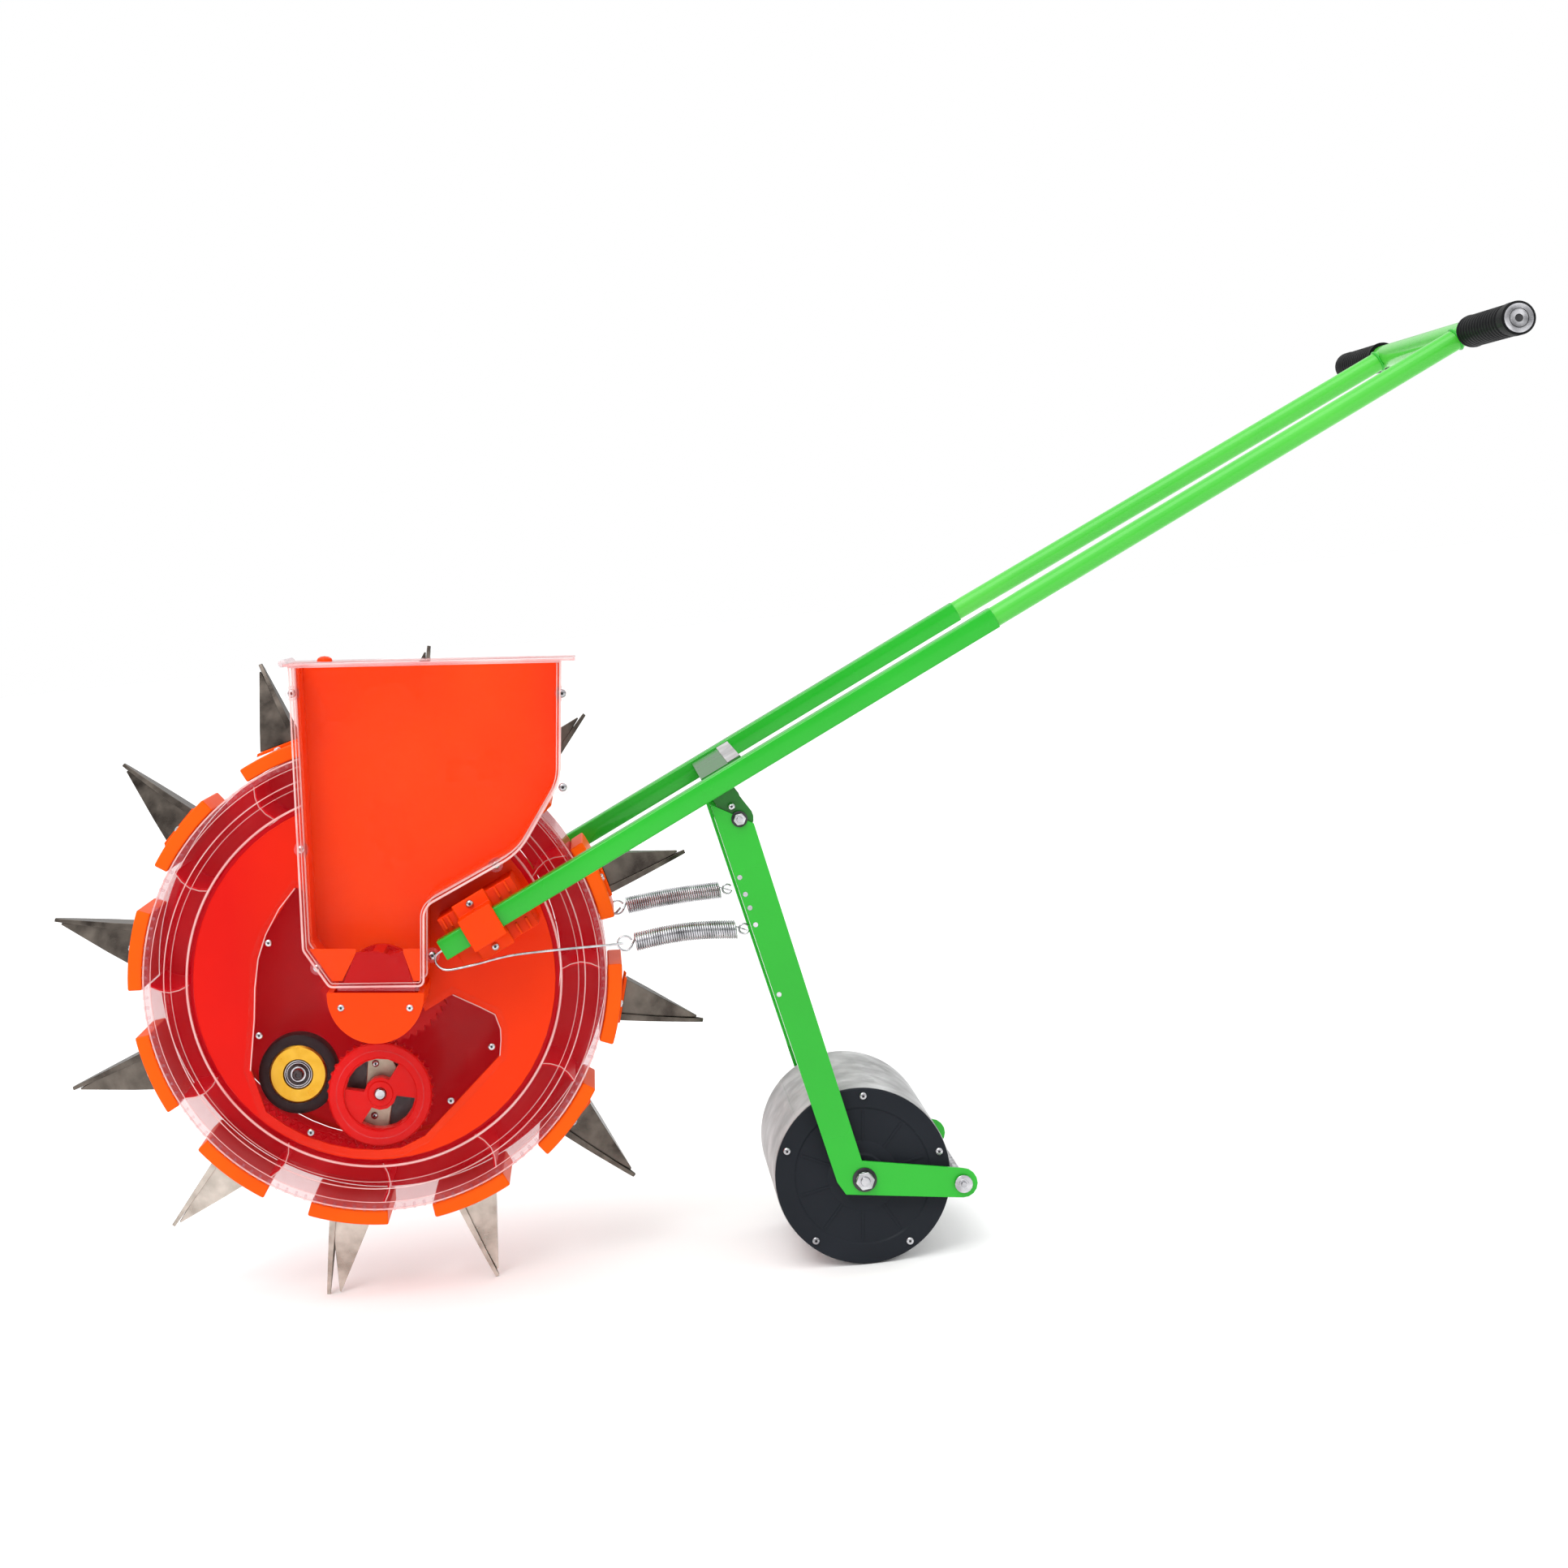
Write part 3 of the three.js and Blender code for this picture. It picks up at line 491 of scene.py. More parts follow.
def arc(radius, start, end, steps, centre=(0, 0)):
    """Points (x, z) along an arc, both ends included; angles in degrees."""
    turn = [math.radians(start + (end - start) * i / steps) for i in range(steps + 1)]
    return [(centre[0] + radius * math.cos(a), centre[1] + radius * math.sin(a)) for a in turn]


def ring_wire(name, radius, y, thickness, body, material, centre=(0, 0), steps=180):
    """A thin wire round a circle in the plane y."""
    points = [(x, y, z) for x, z in arc(radius, 0, 360 - 360 / steps, steps - 1, centre)]
    return sweep(name, points, thickness, body, material, closed=True)


def smooth_path(points, per_span=8):
    """A Catmull-Rom curve through points."""
    ends = [points[0]] + list(points) + [points[-1]]
    path = []
    for i in range(1, len(ends) - 2):
        p = [Vector(q) for q in ends[i - 1:i + 3]]
        for step in range(per_span):
            t = step / per_span
            path.append(0.5 * (2 * p[1] + (p[2] - p[0]) * t + (2 * p[0] - 5 * p[1] + 4 * p[2] - p[3]) * t * t
                               + (3 * p[1] - p[0] - 3 * p[2] + p[3]) * t ** 3))
    path.append(Vector(points[-1]))
    return path


def turned(angle, centre=(0, 0)):
    """A frame at centre (x, z) whose X axis points up at the angle in degrees."""
    x, z = centre
    return LEVEL @ Matrix.Translation((x, 0, z)) @ Matrix.Rotation(-math.radians(angle), 4, "Y")


# an arm's own frame: X along it, Z across it
ARM = turned(ARM_ANGLE, ARM_START)


# ------------------------------------------------------------------ screws and nuts
SCREW_SIDES = 20


def screw(name, x, z, y, radius, body, side=-1, matrix=LEVEL, material=BRIGHT, height=2.2):
    """A pan head whose socket is painted dark steel as painted shade in the recess, standing out of the
    plane y towards side.
    """
    top = y + side * height
    socket = top - side * 0.9
    profile = [(0, socket), (radius * 0.28, socket), (radius * 0.34, top), (radius * 0.7, top - side * 0.15),
               (radius * 0.95, top - side * height * 0.45), (radius, y), (0, y)]
    obj = lathe(name, profile, (x, z), body, material, SCREW_SIDES, frame_matrix=matrix, smooth=50)
    # the socket's faces take dark steel: painted shade in the recess
    obj.data.materials.append(DARK_STEEL)
    for face in obj.data.polygons[:2 * SCREW_SIDES]:
        face.material_index = 1
    return obj


def hex_nut(name, x, z, y, across, thickness, body, side=-1, matrix=LEVEL, turn=12):
    """A washer with a chamfered hexagon nut and a bolt end on it."""
    outline = arc(across / math.sqrt(3), turn, turn + 300, 5, (x, z))
    seat = y + side * 1.5
    top = seat + side * thickness
    low, high = sorted((seat, top))
    washer = [(0, y), (across * 0.72, y), (across * 0.72, seat), (0, seat)]
    bolt = [(0, top), (across * 0.3, top), (across * 0.26, top + side * 2.4), (0, top + side * 2.4)]
    lathe(name + "_washer", washer, (x, z), body, DARK_STEEL, 32, frame_matrix=matrix, bevel=0.0003)
    lathe(name + "_end", bolt, (x, z), body, BRIGHT, 24, frame_matrix=matrix, bevel=0.0003)
    return prism(name, outline, low, high, body, BRIGHT, 0.0008, matrix)


# ------------------------------------------------------------------ seed wheel
def seed_ring():
    """The turning ring: side plates, rim with its fine teeth, inner gear and curved partitions."""
    body = "seed_wheel"
    plate = [(168.6, -46.3), (168.6, -55.2), (169.2, -56), (171.4, -56), (172, -55.2), (172, -50.6),
             (173, -50), (190.5, -50), (191, -50.7), (193, -50.7), (193.5, -50), (211.4, -50),
             (212, -49.4), (212, -46.3)]
    lathe("ring_near_look", plate, (0, 0), body, CLEAR_RING, 180, replaces=("ring_near",), smooth=30)
    far = [(r, -y) for r, y in plate]
    lathe("ring_far_look", far, (0, 0), body, RING_RED, 180, replaces=("ring_far",), smooth=30)
    rim = [(206, -45.6), (211.6, -45.6), (212, -45), (212, 45), (211.6, 45.6), (206, 45.6)]
    lathe("ring_rim_look", rim, (0, 0), body, CLEAR_RIM, 180, replaces=("ring_rim",), smooth=30)
    # pale wires on the near plate's lips and steps: painted highlights along the clear edges
    for radius, y, thick in ((170.3, -56.0, 1.1), (192, -50.9, 0.55), (210.9, -50, 0.8), (204.5, -49.9, 0.4),
                             (186, -49.9, 0.3)):
        ring_wire(f"ring_edge_{int(radius)}", radius, y, thick, body, EDGE_HIGHLIGHT)
    for i in range(MOUTHS):
        at = turned(FIRST_MOUTH + MOUTH_STEP * i + 11.5)
        curve = [(170 + 36 * t, 6 * math.sin(math.pi * t)) for t in (0, 0.25, 0.5, 0.75, 1)]
        outline = curve + [(x, z - 2.2) for x, z in reversed(curve)]
        prism(f"ring_partition_{i + 1:02d}", outline, -45.5, 45.5, body, RING_RED, 0.0004, at)
        # a pale wire along each partition's near edge: a painted highlight
        edge = [(x, -46, z) for x, z in curve]
        sweep(f"ring_partition_edge_{i + 1:02d}", edge, 0.5, body, EDGE_HIGHLIGHT, matrix=at)
    refine("ring_gear", RING_RED, 0, 24)
    bm = bmesh.new()
    for i in range(RIM_TEETH):
        turn = Matrix.Rotation(math.radians(360 * i / RIM_TEETH), 4, "Y")
        place = turn @ Matrix.Translation((209.6, -50.6, 0)) @ Matrix.Diagonal((5.2, 2.6, 2.4, 1))
        bmesh.ops.create_cube(bm, size=1, matrix=place)
    finish_piece(object_from("ring_rim_teeth", bm), body, CLEAR_RIM, bevel=0.0003)


def mouth(number, angle):
    """Pad, fixed blade and moving flap of one duckbill."""
    body = "seed_wheel"
    at = turned(angle)
    outer = arc(225.8, -6.8, 12.2, 12)
    inner = arc(212.6, 12.2, -6.8, 12)
    prism(f"pad_{number}", outer + inner, -47.8, 47.8, body, ORANGE_PAD, 0.0016, at, (f"duckbill_{number}",))
    collar = [(225.6, -11.5), (228.4, -10.5), (228.4, 31), (225.6, 33)]
    for side, y in (("near", -18.6), ("far", 16)):
        prism(f"pad_{side}_rib_{number}", collar, y, y + 2.6, body, ORANGE_PAD, 0.0006, at)
    root, tip, sheet = 224, 305, 1.4
    sections = []
    for r, half in ((root, 14.8), (236, 14.6), (252, 13.6), (270, 10.6), (288, 7), (300, 4.2), (tip, 2.2)):
        share = (r - root) / (tip - root)
        back = -9.4 + 9 * share
        lip = back + 6.5 - 3.3 * share
        sections.append([(r, y, z) for y, z in (
            (-half, back), (half, back), (half, lip), (half - sheet, lip), (half - sheet, back + sheet),
            (-half + sheet, back + sheet), (-half + sheet, lip), (-half, lip))])
    # the paler steel on three mouths is a painted reflection, so it turns with the wheel
    steel = SPIKE if number in REFLECTION_PAINTED_MOUTHS else SPIKE_DARK
    loft(f"blade_{number}", sections, body, steel, 0.0004, at)
    for y in (-36, 36):
        place = at @ Matrix.Translation((225.6, y, 10)) @ Matrix.Rotation(-math.pi / 2, 4, "Z")
        lathe(f"pad_screw_{number}_{'near' if y < 0 else 'far'}",
              [(0, 0), (3.2, 0), (3.2, 1.2), (2.4, 2), (0, 2)], (0, 0), body, BRIGHT, 16, frame_matrix=place)
    refine(f"flap_{number}", steel, 0.0005)


# ------------------------------------------------------------------ fixed centre
# outline of the clear cover in the near side plate
WINDOW = ([(-71.6, 82.6), (-86, 64), (-98.2, 40.5), (-105, 18.6), (-108, -8), (-108.5, -37), (-112, -83)]
          + arc(156, 231, 279, 12)
          + [(46, -143), (114.4, -69.4), (115.5, -55), (115, -45), (110, -32), (96, -25), (71.6, -14),
             (46, -30), (30, 20), (-20, 62)])


def side_plates():
    """The fixed plates, the clear cover with its screws, and the ribs of the clamp's pedestal."""
    refine("side_plate_near", PLATE, 0.0008)
    refine("side_plate_far", PLATE, 0.0008)
    # a dark red disc on the far plate's inner face: painted shade of the closed interior, with RING_RED's
    # painted glow
    painted_shade_disc = [(0, 48.4), (160, 48.4), (160, 50.6), (0, 50.6)]
    lathe("back_painted_shade_disc", painted_shade_disc, (0, 0), "frame", RING_RED, 96)
    refine("mechanism_cover", CLEAR, 0.0005)
    outline = [(x, -58.4, z) for x, z in WINDOW]
    # pale wires along the cover's window edge: painted highlights
    sweep("cover_left_highlight", outline[:7], 0.6, "frame", EDGE_HIGHLIGHT)
    sweep("cover_right_highlight", outline[-9:-3], 0.5, "frame", EDGE_HIGHLIGHT)
    for i, (x, z) in enumerate(((-104, -51), (-95.5, 33), (107, -61), (70, -110), (-57, -139))):
        screw(f"cover_screw_{i + 1}", x, z, -58.2, 3.4, "frame")
    # ribs of the clamp's pedestal, in the arm's frame
    for u0, u1, v0, v1 in ((62, 82, 13.5, 24), (62, 82, -24, -13.5), (9, 20, 13.5, 24)):
        for k in range(2):
            left = u0 + (u1 - u0) * (0.2 + 0.5 * k)
            outline = [(left, v0), (left + 2, v0), (left + 2, v1), (left, v1)]
            prism(f"pedestal_rib_{u0}_{int(v0)}_{k}", outline, -107, -103.5, "frame", ORANGE, 0.0004, ARM)


def gear_train():
    """Idler with its pin and backing, metering rotor, and the guide wheels with their bearings."""
    refine("idler_gear", RED, 0.0003, 25)
    x, z = IDLER_AXIS
    rim = [(33, -43), (34, -44), (46, -44), (47.4, -42.6), (47.4, -40.2), (33, -40.2)]
    lathe("idler_rim", rim, (x, z), "idler", RED, 96)
    ring_wire("idler_rim_line", 40, -44, 0.5, "idler", CLEAR_RIM, (x, z), 72)
    boss = [(6, -41.5), (11, -41.5), (12, -40), (12, -39.8), (6, -39.8)]
    lathe("idler_boss", boss, (x, z), "idler", RED, 40)
    pin = [(0, -44.5), (4.2, -44.5), (5, -43.7), (5, -41), (0, -41)]
    lathe("idler_pin", pin, (x, z), "frame", BRIGHT, 24)
    block = [(0, -16), (34, -16), (36, -14), (36, 0), (0, 0)]
    lathe("idler_back_block", block, (x, z), "frame", DARK_STEEL, 48)
    bracket = [(x - 17, z - 38), (x + 6, z - 38), (x + 10, z - 8), (x + 16, z + 16), (x + 4, z + 38),
               (x - 13, z + 38)]
    prism("idler_back_bracket", bracket, -20, -16.2, "frame", BEIGE_STEEL, 0.001)
    for i, (dx, dz) in enumerate(((-6, 24), (-7, -24))):
        screw(f"idler_back_screw_{i + 1}", x + dx, z + dz, -20, 3.4, "frame")
    refine("metering_rotor", DARK_RED, 0.0003, 25)
    for i, angle in enumerate(GUIDE_ANGLES):
        centre = arc(GUIDE_ORBIT, angle, angle, 1)[0]
        body = f"guide_{i + 1}"
        tyre = [(27, -22), (31, -24), (34, -24), (36, -22.8), (36.7, -20), (36.7, -4), (36, -1.2), (34, 0),
                (27, -1)]
        lathe(f"guide_tyre_{i + 1}", tyre, centre, body, TYRE, 72, replaces=(f"guide_wheel_{i + 1}",))
        hub = [(13, -21), (14, -23.4), (25, -23.4), (26.6, -22), (26.9, -4), (13, -4)]
        lathe(f"guide_hub_{i + 1}", hub, centre, body, GOLD, 72)
        race = [(10, -22.4), (12.8, -22.4), (12.8, -8), (10, -8)]
        lathe(f"guide_race_{i + 1}", race, centre, body, BRIGHT, 48, bevel=0.0003)
        seal = [(7.4, -21), (9.9, -21.6), (9.9, -9), (7.4, -9)]
        lathe(f"guide_seal_{i + 1}", seal, centre, body, DARK_STEEL, 48)
        inner = [(5.3, -22.4), (7.2, -22.4), (7.2, -8), (5.3, -8)]
        lathe(f"guide_inner_race_{i + 1}", inner, centre, body, BRIGHT, 48, bevel=0.0003)
        cap = [(0, -27.4), (1.8, -27.4), (2.2, -28.6), (3.8, -28.6), (5, -27.6), (5.2, -26.6), (0, -26.6)]
        lathe(f"guide_bolt_{i + 1}", cap, centre, "frame", DARK_STEEL, 32)
        ring_wire(f"guide_clip_{i + 1}", 11.4, -22.8, 0.6, body, DARK_STEEL, centre, 60)


# ------------------------------------------------------------------ hopper
# corners of the side outline as (x, z, corner radius), from the top front edge to the top rear edge
HOPPER_CORNERS = ((-67, 286, 0), (-54, 39, 8), (-31, 7, 6), (51, 8, 5), (51, 77, 16), (134, 124, 60),
                  (169.5, 186, 46), (170, 291, 0))
HOPPER_WALL = 3


def rounded(corners, steps=10):
    """An open path of (x, z) points through corners, with an arc of each corner's radius."""
    path = [corners[0][:2]]
    for before, (x, z, radius), after in zip(corners, corners[1:], corners[2:]):
        here = Vector((x, z))
        back = (Vector(before[:2]) - here).normalized()
        on = (Vector(after[:2]) - here).normalized()
        half = back.angle(on) / 2
        reach = radius / math.tan(half)
        centre = here + (back + on).normalized() * (radius / math.sin(half))
        a, b = here + back * reach - centre, here + on * reach - centre
        for i in range(steps + 1):
            path.append(tuple(centre + a.lerp(b, i / steps).normalized() * radius))
    return path + [corners[-1][:2]]


def inset(path, distance):
    """The open path moved to its left by distance."""
    moved = []
    for i, point in enumerate(path):
        run = Vector(path[min(i + 1, len(path) - 1)]) - Vector(path[max(i - 1, 0)])
        side = Vector((-run.y, run.x)).normalized() * distance
        moved.append((point[0] + side.x, point[1] + side.y))
    return moved


HOPPER = rounded(HOPPER_CORNERS)
# the points of each side wall; the floor between them is open for the rotor
FLOOR = sum(x < 0 for x, _ in HOPPER)
HOPPER_SIDES = {"left": slice(0, FLOOR), "right": slice(FLOOR, None)}


def hopper_tray(name, open_y, face_y, back_thick, material, node):
    """Walls on both sides of the rotor's opening from open_y to face_y, and a plate at face_y."""
    inner = inset(HOPPER, HOPPER_WALL)
    towards = 1 if open_y > face_y else -1
    y0, y1 = sorted((open_y, face_y + towards * back_thick))
    for side, part in HOPPER_SIDES.items():
        prism(f"{name}_wall_{side}", HOPPER[part] + inner[part][::-1], y0, y1, "frame", material, 0.0004)
    y0, y1 = sorted((face_y, face_y + towards * (back_thick - 0.05)))
    prism(f"{name}_face", HOPPER, y0, y1, "frame", material, 0.0008, replaces=(node,))


def hopper():
    """Orange back half, clear front half, metering cup, screwed ears and clear lid."""
    hopper_tray("hopper_body", -99.7, -61, 3, ORANGE, "hopper_body")
    hopper_tray("hopper_front", -100, -150, 2.5, CLEAR, "hopper_front")
    refine("metering_housing", ORANGE, 0.0009)
    for side, outline in (("left", [(-49, 40), (-29, 12), (-20, 12), (-8, 37), (-8, 40)]),
                          ("right", [(33, 40), (33, 37), (42, 12), (48, 12), (48, 40)])):
        prism(f"chute_shoulder_{side}", outline, -147, -145, "frame", ORANGE, 0.0004)
    throat = [(-20, 9), (42, 9), (33, 38), (22, 35), (8, 38), (-8, 37)]
    prism("chute_throat", throat, -146.6, -145.2, "frame", DARK_RED, 0.0004)
    sill = [(-24, 3.4), (48, 3.4), (46, 9), (-26, 9)]
    prism("chute_sill", sill, -147.4, -145, "frame", CLEAR_RIM, 0.0004)
    # pale wires along the hopper's front outline, inner edge and split line: painted highlights
    sweep("hopper_front_highlight", [(x, -149.6, z) for x, z in HOPPER], 1.0, "frame", EDGE_HIGHLIGHT, closed=True)
    sweep("hopper_inner_highlight", [(x, -147, z) for x, z in inset(HOPPER, 2.6)], 0.5, "frame", EDGE_HIGHLIGHT)
    for side, part in HOPPER_SIDES.items():
        sweep(f"hopper_split_edge_{side}", [(x, -101.2, z) for x, z in HOPPER[part]], 0.8, "frame", EDGE_HIGHLIGHT)
    ears = ((172, 262), (173, 178), (-70, 262), (-62, 122), (-47, 16), (56, 27), (113, 108))
    ear = [(0, -103), (6.2, -103), (6.5, -102.4), (6.5, -97.6), (6.2, -97), (0, -97)]
    for i, (x, z) in enumerate(ears):
        inward = Vector((50 - x, 160 - z)).normalized()
        at = (x + inward.x, z + inward.y)
        lathe(f"hopper_ear_{i + 1}", ear, at, "frame", CLEAR_RIM, 24)
        screw(f"hopper_screw_{i + 1}", *at, -103, 3.8, "frame")
    for i, x in enumerate((-21, 39)):
        screw(f"cup_screw_{i + 1}", x, -11, -149.5, 3.3, "frame")
    refine("hopper_lid", CLEAR_RIM, 0.0008)
    # a pale wire round the lid's edge: a painted highlight
    lip = [(-71, -151, 287.6), (182, -151, 293.2), (182, -60, 293.2), (-71, -60, 287.6)]
    sweep("lid_highlight", lip, 1.0, "lid", EDGE_HIGHLIGHT, closed=True)
    knob = [(0, 4.92), (3.6, 4.44), (6, 3), (6.8, 1.2), (6.8, 0), (0, 0)]
    at = LEVEL @ Matrix.Translation((-36, -142, 290.8)) @ Matrix.Rotation(math.pi / 2, 4, "X")
    lathe("lid_knob", knob, (0, 0), "lid", ORANGE, 32, frame_matrix=at)


# ------------------------------------------------------------------ handle
def square_tube(name, side, rise, replaces):
    """Lower arm: rounded square tube with an open bore."""
    def section(half, corner):
        points = []
        for sx, sz, start in ((1, 1, 0), (-1, 1, 90), (-1, -1, 180), (1, -1, 270)):
            middle = (sx * (half - corner) + side * ARM_Y, sz * (half - corner) + rise)
            points += arc(corner, start, start + 90, 4, middle)
        return points
    bm = bmesh.new()
    rows = [[bm.verts.new((u, y, v)) for y, v in section(half, corner)]
            for u, half, corner in ((0, ARM_HALF, 2), (ARM_END, ARM_HALF, 2),
                                    (ARM_END, ARM_HALF - ARM_WALL, 1.2), (0, ARM_HALF - ARM_WALL, 1.2))]
    n = len(rows[0])
    for a, b in zip(rows, rows[1:] + rows[:1]):
        for i in range(n):
            bm.faces.new((a[i], a[(i + 1) % n], b[(i + 1) % n], b[i]))
    return finish_piece(object_from(name, bm, ARM), "frame", GREEN, replaces, smooth=40)


def upper_tube(label, side):
    """Round tube from the end of an arm to the handle bar, with a weld at each end."""
    slope = math.atan(ARM_RISE[label] / (HANDLE_BAR - ARM_END))
    at = (ARM @ Matrix.Translation((HANDLE_BAR, side * ARM_Y, 0)) @ Matrix.Rotation(slope, 4, "Y")
          @ Matrix.Rotation(-math.pi / 2, 4, "Z"))
    length = HANDLE_BAR - ARM_END
    profile = [(0, -length), (9.3, -length), (9.3, -6), (0, -6)]
    # the tube takes the paler green: painted light
    lathe(f"upper_tube_{label}", profile, (0, 0), "frame", GREEN_PAINTED_LIGHT, 48, frame_matrix=at)
    for end, y, radius, thick in (("foot", -length, 9.2, 0.8), ("head", -11.5, 9.6, 1.3)):
        ring = [(x, y, z) for x, z in arc(radius, 0, 350, 35)]
        sweep(f"tube_weld_{end}_{label}", ring, thick, "frame", GREEN, closed=True, matrix=at)


def grip(label, s):
    """Ribbed grip with a steel disc in its end; s is -1 on the near side and 1 on the far side."""
    profile = [(0, s * 240.6), (11.6, s * 240.6), (13, s * 241.9), (14.5, s * 240.5), (14.5, s * 228)]
    for k in range(13):
        y = 222 - k * 7
        profile += [(13.3, s * y), (14.1, s * (y - 1.4)), (14.1, s * (y - 4.4)), (13.3, s * (y - 5.8))]
    profile += [(14.5, s * 130.5), (14.3, s * 127.2), (11.4, s * 127.1), (11.4, s * 140), (0, s * 140)]
    lathe(f"grip_{label}_look", profile, (HANDLE_BAR, 0), "frame", GRIP, 56, replaces=(f"grip_{label}",),
          frame_matrix=ARM, smooth=40)
    disc = [(0, s * 239), (3, s * 239), (3.4, s * 241.2), (6, s * 241.6), (10.8, s * 241.9),
            (12.6, s * 241.3), (12.6, s * 240), (0, s * 240)]
    lathe(f"grip_disc_{label}", disc, (HANDLE_BAR, 0), "frame", BRIGHT, 48, frame_matrix=ARM)
    # a dark steel disc just inside the end disc's hole: painted shade in the bore
    hole = [(0, s * 240.9), (3, s * 240.9), (3, s * 239), (0, s * 239)]
    lathe(f"grip_disc_hole_shade_{label}", hole, (HANDLE_BAR, 0), "frame", DARK_STEEL, 24, frame_matrix=ARM)
    ring_at = ARM @ Matrix.Translation((HANDLE_BAR, 0, 0))
    line = [(x, s * 241.75, z) for x, z in arc(8, 0, 350, 35)]
    sweep(f"grip_disc_line_{label}", line, 0.35, "frame", DARK_STEEL, closed=True, matrix=ring_at)


def handle():
    """Both arms with clamps and upper tubes, the handle bar with its grips, and the crosspiece."""
    for label, side in (("near", -1), ("far", 1)):
        square_tube(f"lower_arm_{label}_look", side, ARM_RISE[label], (f"lower_arm_{label}",))
        upper_tube(label, side)
        refine(f"arm_clamp_{label}", ORANGE, 0.0012)
        grip(label, side)
        for i, v in enumerate((-22, 22)):
            screw(f"clamp_screw_{label}_{i + 1}", 41, v + ARM_RISE[label], side * 108.1, 3.6, "frame", side,
                  ARM)
    bar = [(0, -128), (11, -128), (11, 128), (0, 128)]
    # the bar takes the paler green: painted light
    lathe("handle_bar", bar, (HANDLE_BAR, 0), "frame", GREEN_PAINTED_LIGHT, 48, frame_matrix=ARM,
          replaces=("upper_handle",))
    # the crosspiece takes the darker green: painted shade between the arms
    refine("frame_crosspiece", GREEN_PAINTED_SHADE, 0.0009)
    plate = [(302, 11.1), (314.6, 11.1), (314.6, 12), (302, 12)]
    prism("crosspiece_plate", plate, -101, 101, "frame", ZINC, 0.0003, ARM)


# ------------------------------------------------------------------ press roller
def press_frame():
    """The two L plates with the bolts that join them and a row of bright discs that mark the holes in each
    leg.
    """
    for side, label in ((-1, "near"), (1, "far")):
        refine(f"press_arm_{label}", GREEN, 0.0008)
        hex_nut(f"axle_nut_{label}", *ROLLER_AXLE, side * PRESS_FACE, 15, 6, "press_frame", side)
        hex_nut(f"pivot_nut_{label}", *PIVOT, side * PRESS_FACE, 10, 4, "frame", side)
        hex_nut(f"foot_nut_{label}", *FOOT_TIP, side * PRESS_FACE, 9, 3.6, "press_frame", side)
        screw(f"ear_screw_{label}", 322, 161, side * 107, 3.2, "press_frame", side)
        for i, z in enumerate((98, 83, 71, 56, -6)):
            x = 307.5 + (163 - z) * 113 / 336
            hole = [(0, side * 107.1), (2.2, side * 107.1), (2.2, side * 107.25), (0, side * 107.25)]
            lathe(f"leg_hole_{label}_{i + 1}", hole, (x, z), "press_frame", BRIGHT, 16)
    axle = [(0, -112), (7.9, -112), (7.9, 112), (0, 112)]
    lathe("roller_axle_look", axle, ROLLER_AXLE, "press_frame", BRIGHT, 32, replaces=("roller_axle",),
          bevel=0.0006)
    bolt = [(0, -112), (4.9, -112), (4.9, 112), (0, 112)]
    lathe("pivot_bolt_look", bolt, PIVOT, "frame", BRIGHT, 24, replaces=("pivot_bolt",), bevel=0.0005)
    refine("foot_rod", BRIGHT, 0.0005)


def roller():
    """Seamed zinc tube with a screwed and ribbed cap at each end."""
    skin = [(76.6, -90), (78.6, -90), (79, -89.4), (79, 89.4), (78.6, 90), (76.6, 90)]
    lathe("press_roller_look", skin, ROLLER_AXLE, "roller", ZINC, 160, replaces=("press_roller",))
    seam = [(78.6, -1.3), (79.35, -0.8), (79.35, 0.8), (78.6, 1.3)]
    prism("roller_seam", seam, -89, 89, "roller", ZINC, 0.0002, turned(140, ROLLER_AXLE))
    for s, label in ((-1, "near"), (1, "far")):
        cap = [(9.2, s * 92), (9.2, s * 94.8), (19, s * 95), (21, s * 93.4), (30, s * 93),
               (31.5, s * 92.1), (60, s * 92.1), (61.5, s * 93), (77.4, s * 93), (78.4, s * 92.2),
               (78.4, s * 90.4), (75.9, s * 90.3), (75.9, s * 82), (73, s * 82), (73, s * 90)]
        lathe(f"roller_cap_{label}_look", cap, ROLLER_AXLE, "roller", BLACK, 120,
              replaces=(f"roller_cap_{label}",), smooth=30)
        for i in range(5):
            x, z = arc(71.5, 90 - 72 * i, 90 - 72 * i, 1, ROLLER_AXLE)[0]
            screw(f"roller_screw_{label}_{i + 1}", x, z, s * 93, 3.6, "roller", s)
        for i in range(10):
            rib = [(24, -1), (58, -1), (58, 1), (24, 1)]
            y0, y1 = sorted((s * 91.9, s * 92.7))
            at = turned(36 * i + 18, ROLLER_AXLE)
            prism(f"roller_rib_{label}_{i + 1}", rib, y0, y1, "roller", BLACK, 0.0002, at)


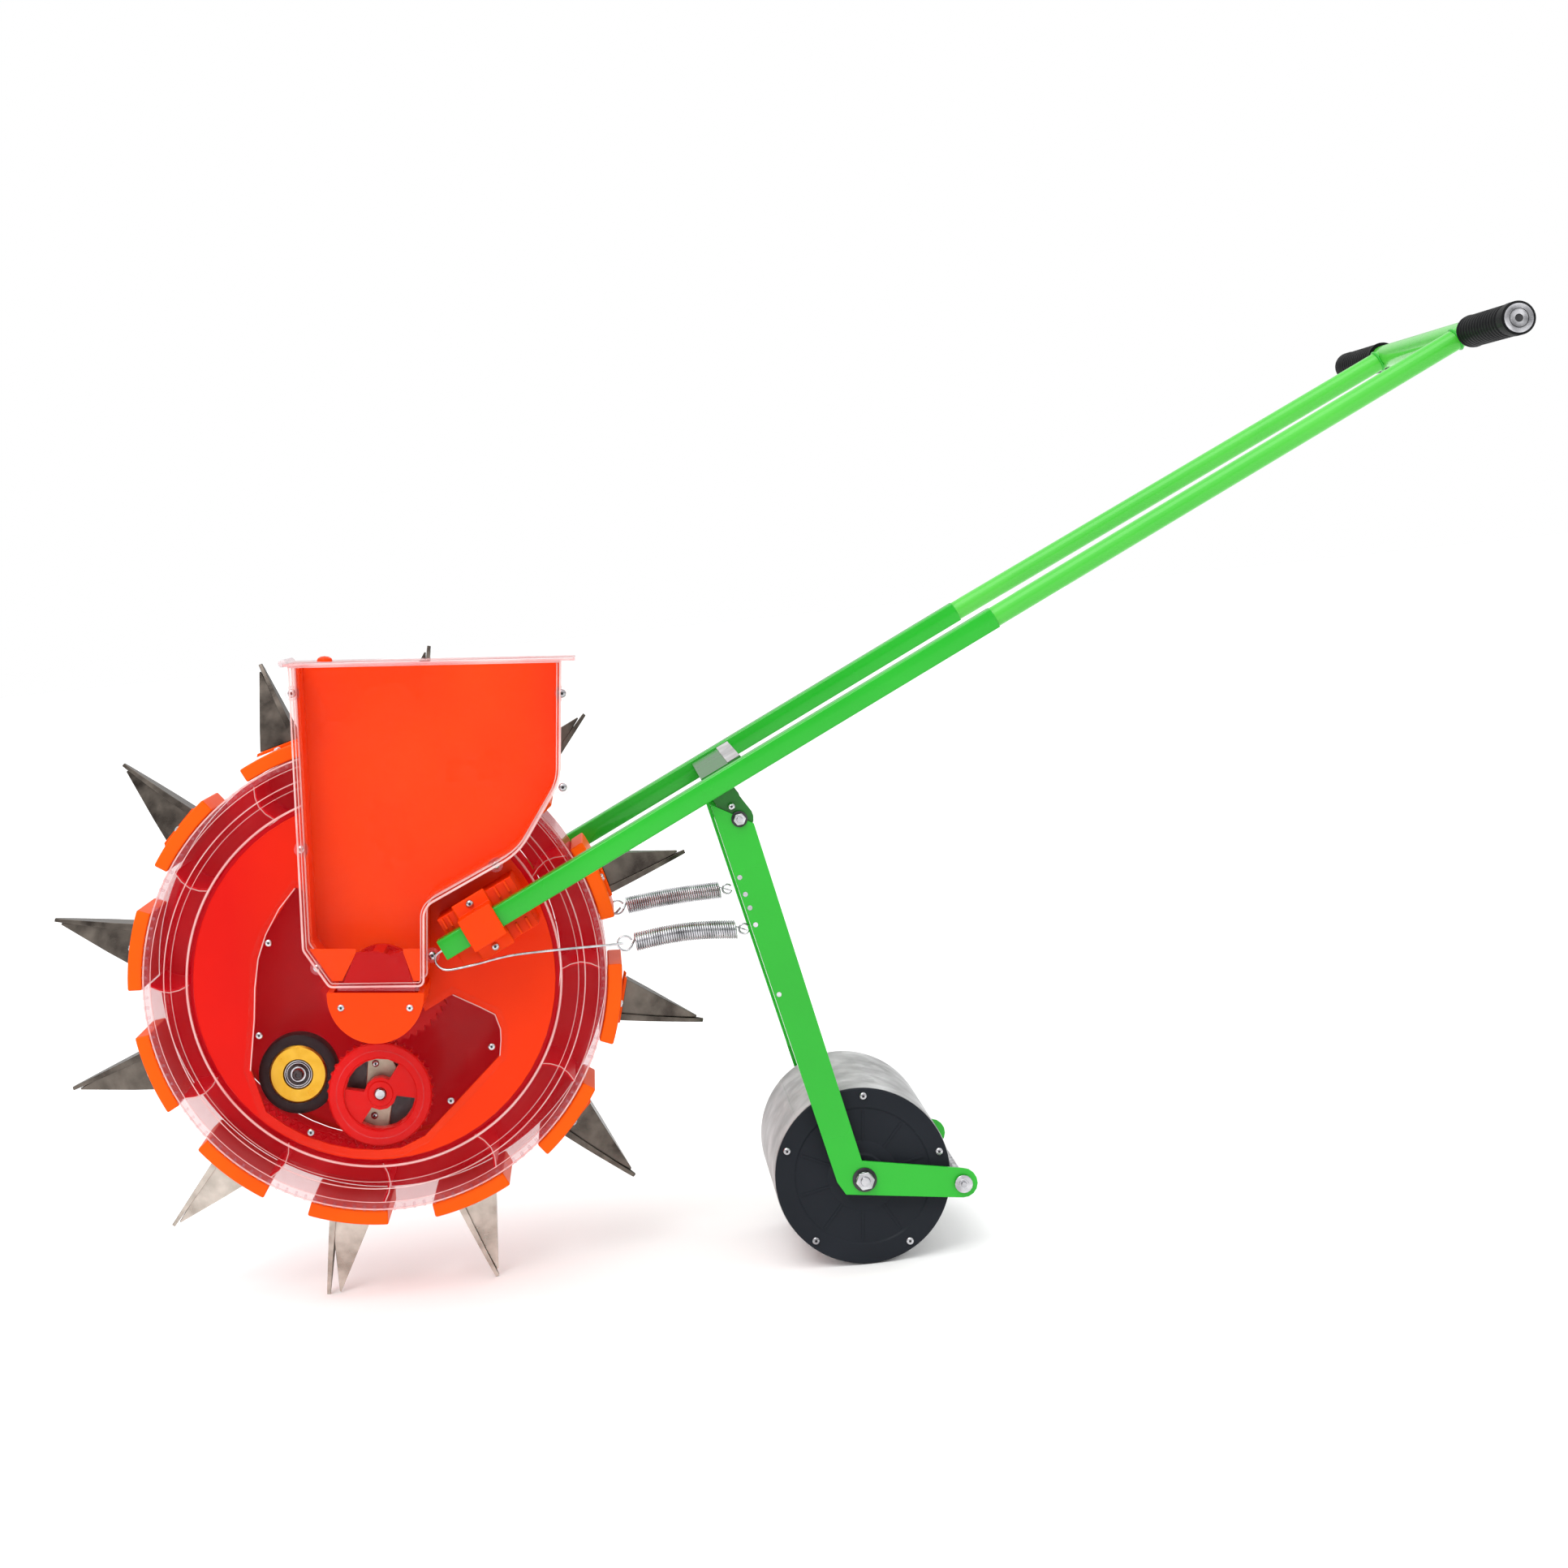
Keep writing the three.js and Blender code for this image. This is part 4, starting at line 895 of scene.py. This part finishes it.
# ------------------------------------------------------------------ springs and wires
def coil_path(start, end, y, radius, turns, bow, steps=16):
    """A close-wound tension spring with a loop at each end, from start to end (x, z)."""
    a, b = Vector((start[0], y, start[1])), Vector((end[0], y, end[1]))
    run = b - a
    along = run.normalized()
    across = along.cross(Vector((0, 1, 0))).normalized()
    beside = Vector((0, 1, 0))
    front_eye, rear_eye = 6.5, 4.5
    path = []
    for i in range(15):
        angle = math.radians(-160 + 320 * i / 14)
        centre = a - along * (front_eye + 3)
        path.append(centre - along * (front_eye * math.cos(angle)) + across * (front_eye * math.sin(angle)))
    path.reverse()
    for i in range(turns * steps + 1):
        angle = 2 * math.pi * i / steps
        t = i / (turns * steps)
        rise = Vector((0, 0, bow * math.sin(math.pi * t)))
        round_it = across * (radius * math.sin(angle + 0.3)) + beside * (radius * math.cos(angle + 0.3))
        path.append(a + run * t + rise + round_it)
    for i in range(12):
        angle = math.radians(-150 + 300 * i / 11)
        centre = b + along * 7
        path.append(centre - along * (rear_eye * math.cos(angle)) + across * (rear_eye * math.sin(angle)))
    return path


def springs_and_wires():
    """Tension springs to the L plates, and the hook wires that lead from them to the arms' open ends."""
    springs = (("near", -95, (237, 39), (327, 50), 3.5), ("far", 95, (232, 48), (322, 63), 1.5))
    for label, y, start, end, bow in springs:
        path = coil_path(start, end, y, 7.4, 44, bow)
        obj = sweep(f"spring_{label}_coil", path, 0.95, None, BRIGHT, 8, replaces=(f"spring_{label}",))
        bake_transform(obj)
        side = 1 if y > 0 else -1
        route = [(226, 38 if side < 0 else 46, 95), (212, 36.5, 97), (165, 33, 104), (125, 29, 111),
                 (92, 21.5, 117), (70, 17.5, 118), (60.5, 22, 116.5), (60, 30, 115), (69, 36, 115)]
        wire = smooth_path([(x, side * depth, z) for x, z, depth in route])
        sweep(f"hook_wire_{label}_look", wire, 1.1, "frame", BRIGHT, 8, replaces=(f"hook_wire_{label}",))


# ------------------------------------------------------------------ build
camera()
studio()
seed_ring()
for index in range(MOUTHS):
    mouth(f"{index + 1:02d}", FIRST_MOUTH + MOUTH_STEP * index)
side_plates()
gear_train()
hopper()
handle()
press_frame()
roller()
springs_and_wires()

bpy.context.view_layer.update()
